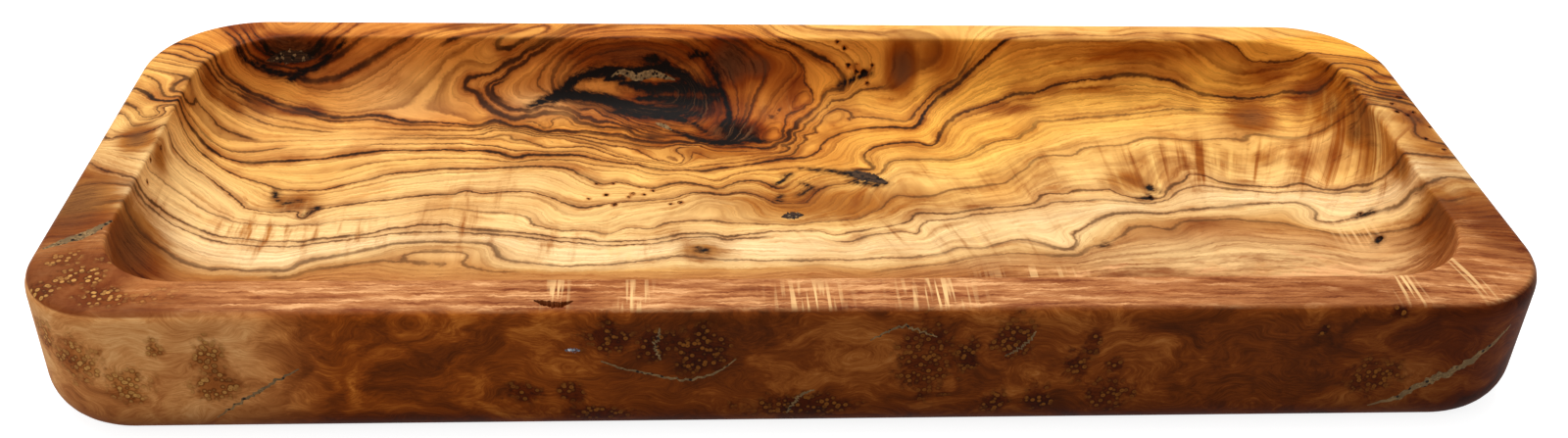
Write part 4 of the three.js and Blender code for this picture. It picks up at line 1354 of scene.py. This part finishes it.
def burl_colour(marks, position):
    """Red-brown burl with curls, dark clusters and golden eyes"""
    parts = parts_of(position)
    x = parts["X"]
    curl = curls(position)
    left_half = flip(step_up(x, *LEFT_HALF))
    dark = multiply(left_half, ramp(curl, BURL_DARK), LEFT_GAIN)
    dark = darken(step_up(x, *RIGHT_END), dark, RIGHT_SHADE)
    left_end = flip(step_up(x, *LEFT_END))
    base = mix(left_end, dark, ramp(curl, BURL_LIGHT))
    base = darken(step_up(marks["brown"], 0.2, 1.0), base, BURL_STAIN)
    # Painted shade: darker towards the lower edge, where the under-round turns away from the light.
    base = darken(flip(step_up(parts["Z"], *BOTTOM_SHADE_RISE)), base, BOTTOM_PAINTED_SHADE)
    return burl_eyes(marks, base, position, left_end)


# %% The whole wood
MARKS = (
    "ring", "pace", "ray", "brown", "pale", "rays", "char", "stroke", "pin", "fleck", "burl", "eyes")
WAVERS = ((240.0, 2.0), (1000.0, 3.0))
WOOD_DRYNESS, BURL_DRYNESS = 0.36, 0.2
WOOD_RELIEF = (0.25, 0.00012)


def attribute(tree, name, output="Fac"):
    return add_node("ShaderNodeAttribute", tree=tree, attribute_name=name).outputs[output]


def olive_wood():
    material, shader, position = new_material("olive_wood", WOOD_SPECULAR)
    parts = parts_of(attribute(material.node_tree, "place", "Vector"))
    marks = {name: attribute(material.node_tree, name) for name in MARKS}
    pace, burl = marks["pace"], marks["burl"]
    waver = [fit(noise(position, *rough), 1.0, -0.5) for rough in WAVERS]
    ring = fit(plus(*waver), pace, marks["ring"])
    fibre = use(FIBRE, ring=ring, along=parts["X"], depth=parts["Z"])
    base = top_colour(marks, parts, position, ring, fibre)
    base = knot_colour(marks, base, parts["X"], position, ring, fibre["Fibre"])
    base = mix(burl, base, burl_colour(marks, position))
    film = use(OIL, place=position, fibre=fibre["Fibre"], dryness=fit(burl, BURL_DRYNESS, WOOD_DRYNESS))
    surface(shader, base, film["Roughness"], film["Height"], *WOOD_RELIEF)
    return material


# %% [markdown]
# ## Putty, dead knots, bark and grey resin
# The fills are small, so each finish needs only a colour with some grain in it: gritty tan putty, black
# knot wood with pale specks, crumbling bark, and one shiny grey drop in a pit. Plain colours would look
# like plastic close up. The shared grit, fibre and oil groups give each its grain and its dullness.

# %% Finishes of the fills: grains per metre, relief strength and depth, dryness
PUTTY_GRIT, PUTTY_RELIEF, PUTTY_DRYNESS = 2600.0, (0.6, 0.0002), 0.6
KNOT_GRIT, KNOT_RELIEF, KNOT_DRYNESS = 1900.0, (0.4, 0.0002), 0.38
BARK_GRIT, BARK_RELIEF, BARK_DRYNESS = 1500.0, (0.8, 0.0003), 0.55
RESIN_CLOUD, RESIN_RELIEF, RESIN_DRYNESS = 1500.0, (0.4, 0.0002), 0.06
PUTTY_DARK, PUTTY_LIGHT, PUTTY_PATCH, PUTTY_PIT = (98, 74, 46), (154, 122, 80), (114, 90, 60), (30, 20, 12)
KNOT_WOOD = ((0.3, 84, 54, 30), (0.5, 48, 31, 20), (0.75, 20, 14, 11))
KNOT_SPECK, KNOT_PIT = (132, 108, 76), (14, 10, 9)
BARK_DARK, BARK_LIGHT, BARK_PIT = (30, 22, 18), (78, 56, 38), (16, 12, 11)
RESIN_GREYS = ((0.35, 34, 38, 44), (0.5, 104, 112, 124), (0.68, 214, 218, 224))


def putty():
    material, shader, position = new_material("putty")
    grit = use(GRIT, place=position, scale=PUTTY_GRIT)
    base = mix(grit["Grain"], colour(PUTTY_DARK), colour(PUTTY_LIGHT))
    base = mix(step_up(noise(position, 300.0), 0.4, 0.7), base, colour(PUTTY_PATCH))
    base = mix(grit["Pits"], base, colour(PUTTY_PIT))
    film = use(OIL, place=position, fibre=grit["Grain"], dryness=PUTTY_DRYNESS)
    height = minus(film["Height"], grit["Pits"])
    surface(shader, base, film["Roughness"], height, *PUTTY_RELIEF)
    return material


def dead_knot():
    material, shader, position = new_material("dead_knot")
    parts = parts_of(position)
    ring = times(plus(parts["Y"], parts["Z"]), 1 / MM)
    fibre = use(FIBRE, ring=ring, along=times(parts["X"], 1 / MM), depth=0.0)
    grit = use(GRIT, place=position, scale=KNOT_GRIT)
    base = ramp(fibre["Fibre"], KNOT_WOOD)
    base = mix(step_up(grit["Grain"], 0.82, 0.95), base, colour(KNOT_SPECK))
    base = mix(grit["Pits"], base, colour(KNOT_PIT))
    film = use(OIL, place=position, fibre=fibre["Fibre"], dryness=KNOT_DRYNESS)
    surface(shader, base, film["Roughness"], film["Height"], *KNOT_RELIEF)
    return material


def bark():
    material, shader, position = new_material("bark")
    grit = use(GRIT, place=position, scale=BARK_GRIT)
    base = mix(grit["Grain"], colour(BARK_DARK), colour(BARK_LIGHT))
    base = mix(grit["Pits"], base, colour(BARK_PIT))
    film = use(OIL, place=position, fibre=grit["Grain"], dryness=BARK_DRYNESS)
    surface(shader, base, film["Roughness"], film["Height"], *BARK_RELIEF)
    return material


def glaze_fill():
    material, shader, position = new_material("glaze_fill")
    cloud = noise(position, RESIN_CLOUD, 3.0)
    film = use(OIL, place=position, fibre=cloud, dryness=RESIN_DRYNESS)
    surface(shader, ramp(cloud, RESIN_GREYS), film["Roughness"], cloud, *RESIN_RELIEF)
    return material


MATERIALS = {make.__name__: make() for make in (olive_wood, putty, dead_knot, bark, glaze_fill)}
print("finishes:", list(MATERIALS))

# %% [markdown]
# ## Cracks, putty and pinholes
# The maker filled the open cracks and the dead knots with putty, pressed into the crack and sanded flush.
# A fill is a ribbon along the crack's path: wide in the middle, pointed at both ends, ragged at the edges.
# It could be painted on, but then it would have no edge and no depth of its own. The node tree below
# samples the path, spreads it sideways, throws the points onto the tray with a ray and gives the ribbon
# depth. The same ribbon, a little proud of the surface, cuts the pocket that the fill sits in.

# %% Tree of one draped ribbon
RIBBON_LONG, RIBBON_ACROSS = 49, 5
EDGE_PACE, EDGE_SCALE = 9.0, 1.9
BEND_PACE, BEND_SCALE, BEND_ROW = 18.0, 1.0, 7.0
NOISE_DETAIL = 4.0
RAY_REACH = 1.0
RIBBON_MERGE_GAP = 1e-6


def even_noise(place, scale, amount):
    """Noise around nought, by an amount"""
    return times(minus(noise(place, scale, NOISE_DETAIL), 0.5), amount)


def ribbon_width(given, along, swell, side):
    """Half the ribbon's width: swollen in the middle, ragged on each side in its own way"""
    half_width = fit(minus(given["Width"], given["Tip"]), swell, given["Tip"])
    place = combine(times(along, EDGE_PACE), calc("SIGN", side), given["Seed"])
    rough = even_noise(place, EDGE_SCALE, given["Ragged"])
    return times(times(half_width, 0.5), plus(rough, 1.0))


def draped(tree, given, grid):
    """The grid spread along the path and thrown onto the tray"""
    cell = parts_of(add_node("GeometryNodeInputPosition", tree=tree).outputs[0])
    along = plus(cell["X"], 0.5)
    line = add_node("GeometryNodeMeshToCurve", {"Mesh": given["Path"]})
    line = add_node(
        "GeometryNodeCurveSplineType", {"Curve": line.outputs[0]}, spline_type="CATMULL_ROM")
    point = add_node(
        "GeometryNodeSampleCurve", {"Curves": line.outputs[0], "Factor": along}, mode="FACTOR")
    sideways = vector_calc("CROSS_PRODUCT", point.outputs["Tangent"], given["Toward"])
    sideways = vector_calc("NORMALIZE", sideways)
    swell = calc("SINE", times(along, math.pi))
    half_width = ribbon_width(given, along, swell, cell["Y"])
    bend_place = combine(times(along, BEND_PACE), BEND_ROW, given["Seed"])
    bend = even_noise(bend_place, BEND_SCALE, given["Wander"])
    reach = fit(half_width, cell["Y"], times(bend, swell))
    spread = vector_calc("ADD", point.outputs["Position"], scaled(sideways, reach))
    ray = add_node("GeometryNodeRaycast", {
        "Target Geometry": object_mesh(given["Tray"]), "Source Position": spread,
        "Ray Direction": given["Toward"], "Ray Length": RAY_REACH})
    lift = scaled(given["Toward"], given["Proud"])
    return moved_grid(grid, vector_calc("SUBTRACT", ray.outputs["Hit Position"], lift))


def ribbon_tree():
    tree, given, leave = new_tree("draped_ribbon", "Geometry", dict(
        path="Geometry", width="Float", tip="Float", ragged="Float", wander="Float", seed="Float",
        depth="Float", proud="Float", toward="Vector", tray="Object", finish="Material"),
        dict(solid="Geometry"))
    grid = add_node("GeometryNodeMeshGrid", {
        "Size X": 1.0, "Size Y": 2.0, "Vertices X": RIBBON_LONG, "Vertices Y": RIBBON_ACROSS}, tree)
    face = draped(tree, given, grid)
    back = add_node("GeometryNodeExtrudeMesh", {
        "Mesh": face, "Offset": given["Toward"], "Offset Scale": given["Depth"], "Individual": False})
    turned = add_node("GeometryNodeFlipFaces", {"Mesh": back.outputs["Mesh"]})
    both = add_node("GeometryNodeJoinGeometry", {"Geometry": face})
    link(turned.outputs[0], both.inputs[0])
    closed = add_node("GeometryNodeMergeByDistance", {
        "Geometry": both.outputs[0], "Distance": RIBBON_MERGE_GAP})
    leave_solid(closed.outputs[0], given["Finish"], leave)
    return tree


RIBBON = ribbon_tree()
print("ribbon tree nodes:", len(RIBBON.nodes))

# %% Paths of the fills: face, where the path counts from, width, places in millimetres
HOLLOW_MIDDLE = (HOLLOW[2] + HOLLOW[3]) / 2
FILLS = {
    "knot_fill_main": ("back wall", (0, FLOOR_LEVEL), 1.8, (
        (-41.6, 7.2), (-39, 8.3), (-35.2, 7.2), (-31.5, 7.9), (-28.6, 7.3), (-25.8, 6.6))),
    "back_knot_core": ("back wall", (HOLLOW[0], HEIGHT), 3.4, (
        (12.4, -5.7), (18, -5.3), (23.6, -5.7))),
    "knot_fill_lower": ("above", (0, HOLLOW[3]), 1.5, ((-30.6, -12.8), (-28.6, -13.9), (-26.6, -16))),
    "floor_pin_knot": ("above", (0, HOLLOW_MIDDLE), 3.0, ((-1.9, -3.9), (0.7, -3.3), (3.3, -3))),
    "floor_bark_pocket": ("above", (0, HOLLOW_MIDDLE), 4.2, (
        (14.4, 15.6), (18.6, 13.4), (23.6, 10.6))),
    "rim_crack_fill": ("above", (BLOCK[0], BLOCK[2]), 2.4, (
        (2.2, 22), (5.2, 24.4), (8.6, 26.8), (10.8, 29.6), (12.4, 32.2))),
    "front_pit_fill": ("front", (0, HEIGHT), 1.8, ((-46.2, -8.6), (-44.8, -8.5), (-43.4, -8.7))),
    "vein_fill_upper": ("front", (0, HEIGHT), 1.3, (
        (-28.3, -3.4), (-28.6, -5.8), (-29.3, -7.6), (-28.2, -11.1))),
    "vein_fill_long": ("front", (0, 0), 1.3, (
        (-39.6, 18.7), (-34.6, 16.6), (-29.9, 15.4), (-25.3, 14.1), (-20.4, 14.5), (-16.6, 16.4),
        (-13.8, 19))),
    "vein_fill_right": ("front", (0, HEIGHT), 1.3, (
        (11.8, -6.7), (14.8, -4.8), (17.9, -3.4), (21, -4.5), (24.6, -6))),
    "vein_fill_foot": ("front", (0, 0), 1.5, ((-3.6, 5), (-2.6, 7.4), (-0.9, 10), (1.6, 11.2))),
    "vein_fill_eye": ("front", (0, HEIGHT), 1.2, (
        (43.6, -4.8), (42.6, -7.1), (40.6, -9.2), (38.2, -10.8))),
    "front_crack_fill": ("front", (BLOCK[0], 0), 1.6, (
        (36.6, 5.4), (40.6, 8.7), (45.2, 11.9), (48.8, 14.4), (53.7, 17.4))),
    "corner_crack_fill": ("front", (BLOCK[1], 0), 3.2, (
        (-36.5, 5.6), (-30.8, 8), (-26.4, 11.4), (-22.2, 14), (-18.2, 16.8), (-14.6, 19.6),
        (-10.6, 23.6))),
}
FILL_FINISH = {
    "back_knot_core": "dead_knot", "floor_pin_knot": "dead_knot", "floor_bark_pocket": "bark",
    "front_pit_fill": "glaze_fill"}
SPLIT = ("above", (0, BLOCK[2]), 2.0, ((-52, 4.4), (-49.6, 3.4), (-47, 2.9), (-44.6, 4.1)))
print("fills:", len(FILLS))

# %% One ribbon: a fill, or the cutter of its pocket
TO_THE_BACK, DOWNWARD = (0.0, 1.0, 0.0), (0.0, 0.0, -1.0)
STAND_OFF = 20
TIP_WIDTH, FILL_DEPTH, SPLIT_DEPTH = 0.3, 2.5, 1.6
VEIN_SHARE, CRACK_SHARE, THIN_WIDTH = 0.42, 0.6, 2.0
VEIN_EDGE, OTHER_EDGE = (2.4, 4.0), (1.5, 0.9)


def path_piece(face, counted_from, path):
    """The path as a line of points in front of its face, in metres, and the way to the face"""
    across, other = (np.array(path, dtype=float) + np.array(counted_from, dtype=float)).T
    if face == "above":
        points = np.column_stack((across, other, np.full(len(path), HEIGHT + STAND_OFF)))
    else:
        start_y = BLOCK[2] - STAND_OFF if face == "front" else 0.0
        points = np.column_stack((across, np.full(len(path), start_y), other))
    edges = [(i, i + 1) for i in range(len(path) - 1)]
    return new_mesh_object("path", points * MM, edges=edges), DOWNWARD if face == "above" else TO_THE_BACK


def ribbon(name, fill, seed, depth, proud, finish=None):
    face, counted_from, width, path = fill
    vein = face == "front"
    if vein:
        width *= VEIN_SHARE if width < THIN_WIDTH else CRACK_SHARE
    ragged, wander = VEIN_EDGE if vein else OTHER_EDGE
    start, toward = path_piece(face, counted_from, path)
    return grow(name, RIBBON, start, width=width * MM, tip=TIP_WIDTH * MM, ragged=ragged,
                wander=wander * MM, seed=float(seed), depth=depth * MM, proud=proud * MM, toward=toward,
                tray=tray, finish=finish)


# %% [markdown]
# ## Pinholes
# Pinholes are where small dead twigs fell out or a beetle left. Dark dots in the material would show no
# depth from the side. Each is a small round pit, so one tree puts a ball on every point of a list, and
# the balls are cut out of the tray together with the pockets. The wood's finish paints each pit near
# black inside, as painted shade.

# %% Tree of the pinholes
BALL_STEPS = 2


def pinhole_tree():
    tree, given, leave = new_tree("pinholes", "Geometry", dict(
        points="Geometry", spread="Float", seed="Int", finish="Material"), dict(solid="Geometry"))
    ball = add_node("GeometryNodeMeshIcoSphere", {"Radius": 1.0, "Subdivisions": BALL_STEPS}, tree)
    size = add_node("GeometryNodeInputNamedAttribute", {"Name": "size"}, tree, data_type="FLOAT")
    uneven = add_node("FunctionNodeRandomValue", {"Seed": given["Seed"]}, data_type="FLOAT_VECTOR")
    uneven = vector_calc("SUBTRACT", uneven.outputs[0], (0.5, 0.5, 0.5))
    uneven = vector_calc("ADD", scaled(uneven, given["Spread"]), (1.0, 1.0, 1.0))
    placed = add_node("GeometryNodeInstanceOnPoints", {
        "Points": given["Points"], "Instance": ball.outputs["Mesh"],
        "Scale": scaled(uneven, size.outputs[0])})
    leave_solid(placed.outputs[0], given["Finish"], leave)
    return tree


def pinhole_points():
    """The tray's own points that lie nearest to the pinholes' places, with their sizes in metres"""
    points = mesh_points(tray)
    places, depth = unroll(points)
    top = np.flatnonzero(depth < TOP_DEPTH / 2)
    holes = np.array(PINHOLES)
    nearest = [top[np.argmin(np.hypot(*(places[top] - hole[:2]).T))] for hole in holes]
    piece = new_mesh_object("pinhole_points", points[nearest] * MM)
    store(piece, "size", holes[:, 2] * MM)
    return piece


PINHOLE = pinhole_tree()
print("pinholes:", len(PINHOLES), "tree nodes:", len(PINHOLE.nodes))

# %% Fills and their pockets
PROUD = 0.6
SPLIT_SEED, PINHOLE_SEED, PINHOLE_SPREAD = 3, 5, 0.7


def cut(piece, cutter):
    """Take a cutter out of a piece for good"""
    modifier = piece.modifiers.new("cut", "BOOLEAN")
    modifier.operation = "DIFFERENCE"
    modifier.solver = "MANIFOLD"
    modifier.object = cutter
    ready = piece.evaluated_get(bpy.context.evaluated_depsgraph_get())
    mesh = bpy.data.meshes.new_from_object(ready)
    piece.modifiers.remove(modifier)
    old = piece.data
    piece.data = mesh
    bpy.data.meshes.remove(old)
    bpy.data.objects.remove(cutter)


def join_meshes(name, pieces):
    """One object from several, which are removed"""
    whole = bmesh.new()
    for piece in pieces:
        whole.from_mesh(piece.data)
        bpy.data.objects.remove(piece)
    mesh = bpy.data.meshes.new(name)
    whole.to_mesh(mesh)
    whole.free()
    return place_object(name, mesh)


fills = {}
cutters = [
    ribbon("split_cutter", SPLIT, SPLIT_SEED, SPLIT_DEPTH + PROUD, PROUD),
    grow("pinhole_cutter", PINHOLE, pinhole_points(), spread=PINHOLE_SPREAD, seed=PINHOLE_SEED)]
for number, (node, fill) in enumerate(FILLS.items()):
    finish = MATERIALS[FILL_FINISH.get(node, "putty")]
    fills[node] = ribbon(node, fill, number, FILL_DEPTH, 0.0, finish)
    cutters.append(ribbon("cutter", fill, number, FILL_DEPTH + PROUD, PROUD))
before = len(tray.data.vertices)
cut(tray, join_meshes("pockets", cutters))
print("tray points before and after the pockets:", before, len(tray.data.vertices))

# %% [markdown]
# ## Finish
# Every piece rides on the one body, stands in for its solid and names its finish.

# %% Ride, replace, slots and the triangle count
SHARP_ANGLE = math.radians(35)
tray.data.materials.clear()
tray.data.materials.append(MATERIALS["olive_wood"])
store_figure(tray)
for node, piece in [("tray_body", tray), *fills.items()]:
    piece.data.shade_smooth()
    piece.data.set_sharp_from_angle(angle=SHARP_ANGLE)
    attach(piece, "root")
    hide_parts(node)
print("triangles:", sum(len(p.vertices) - 2 for p in tray.data.polygons))
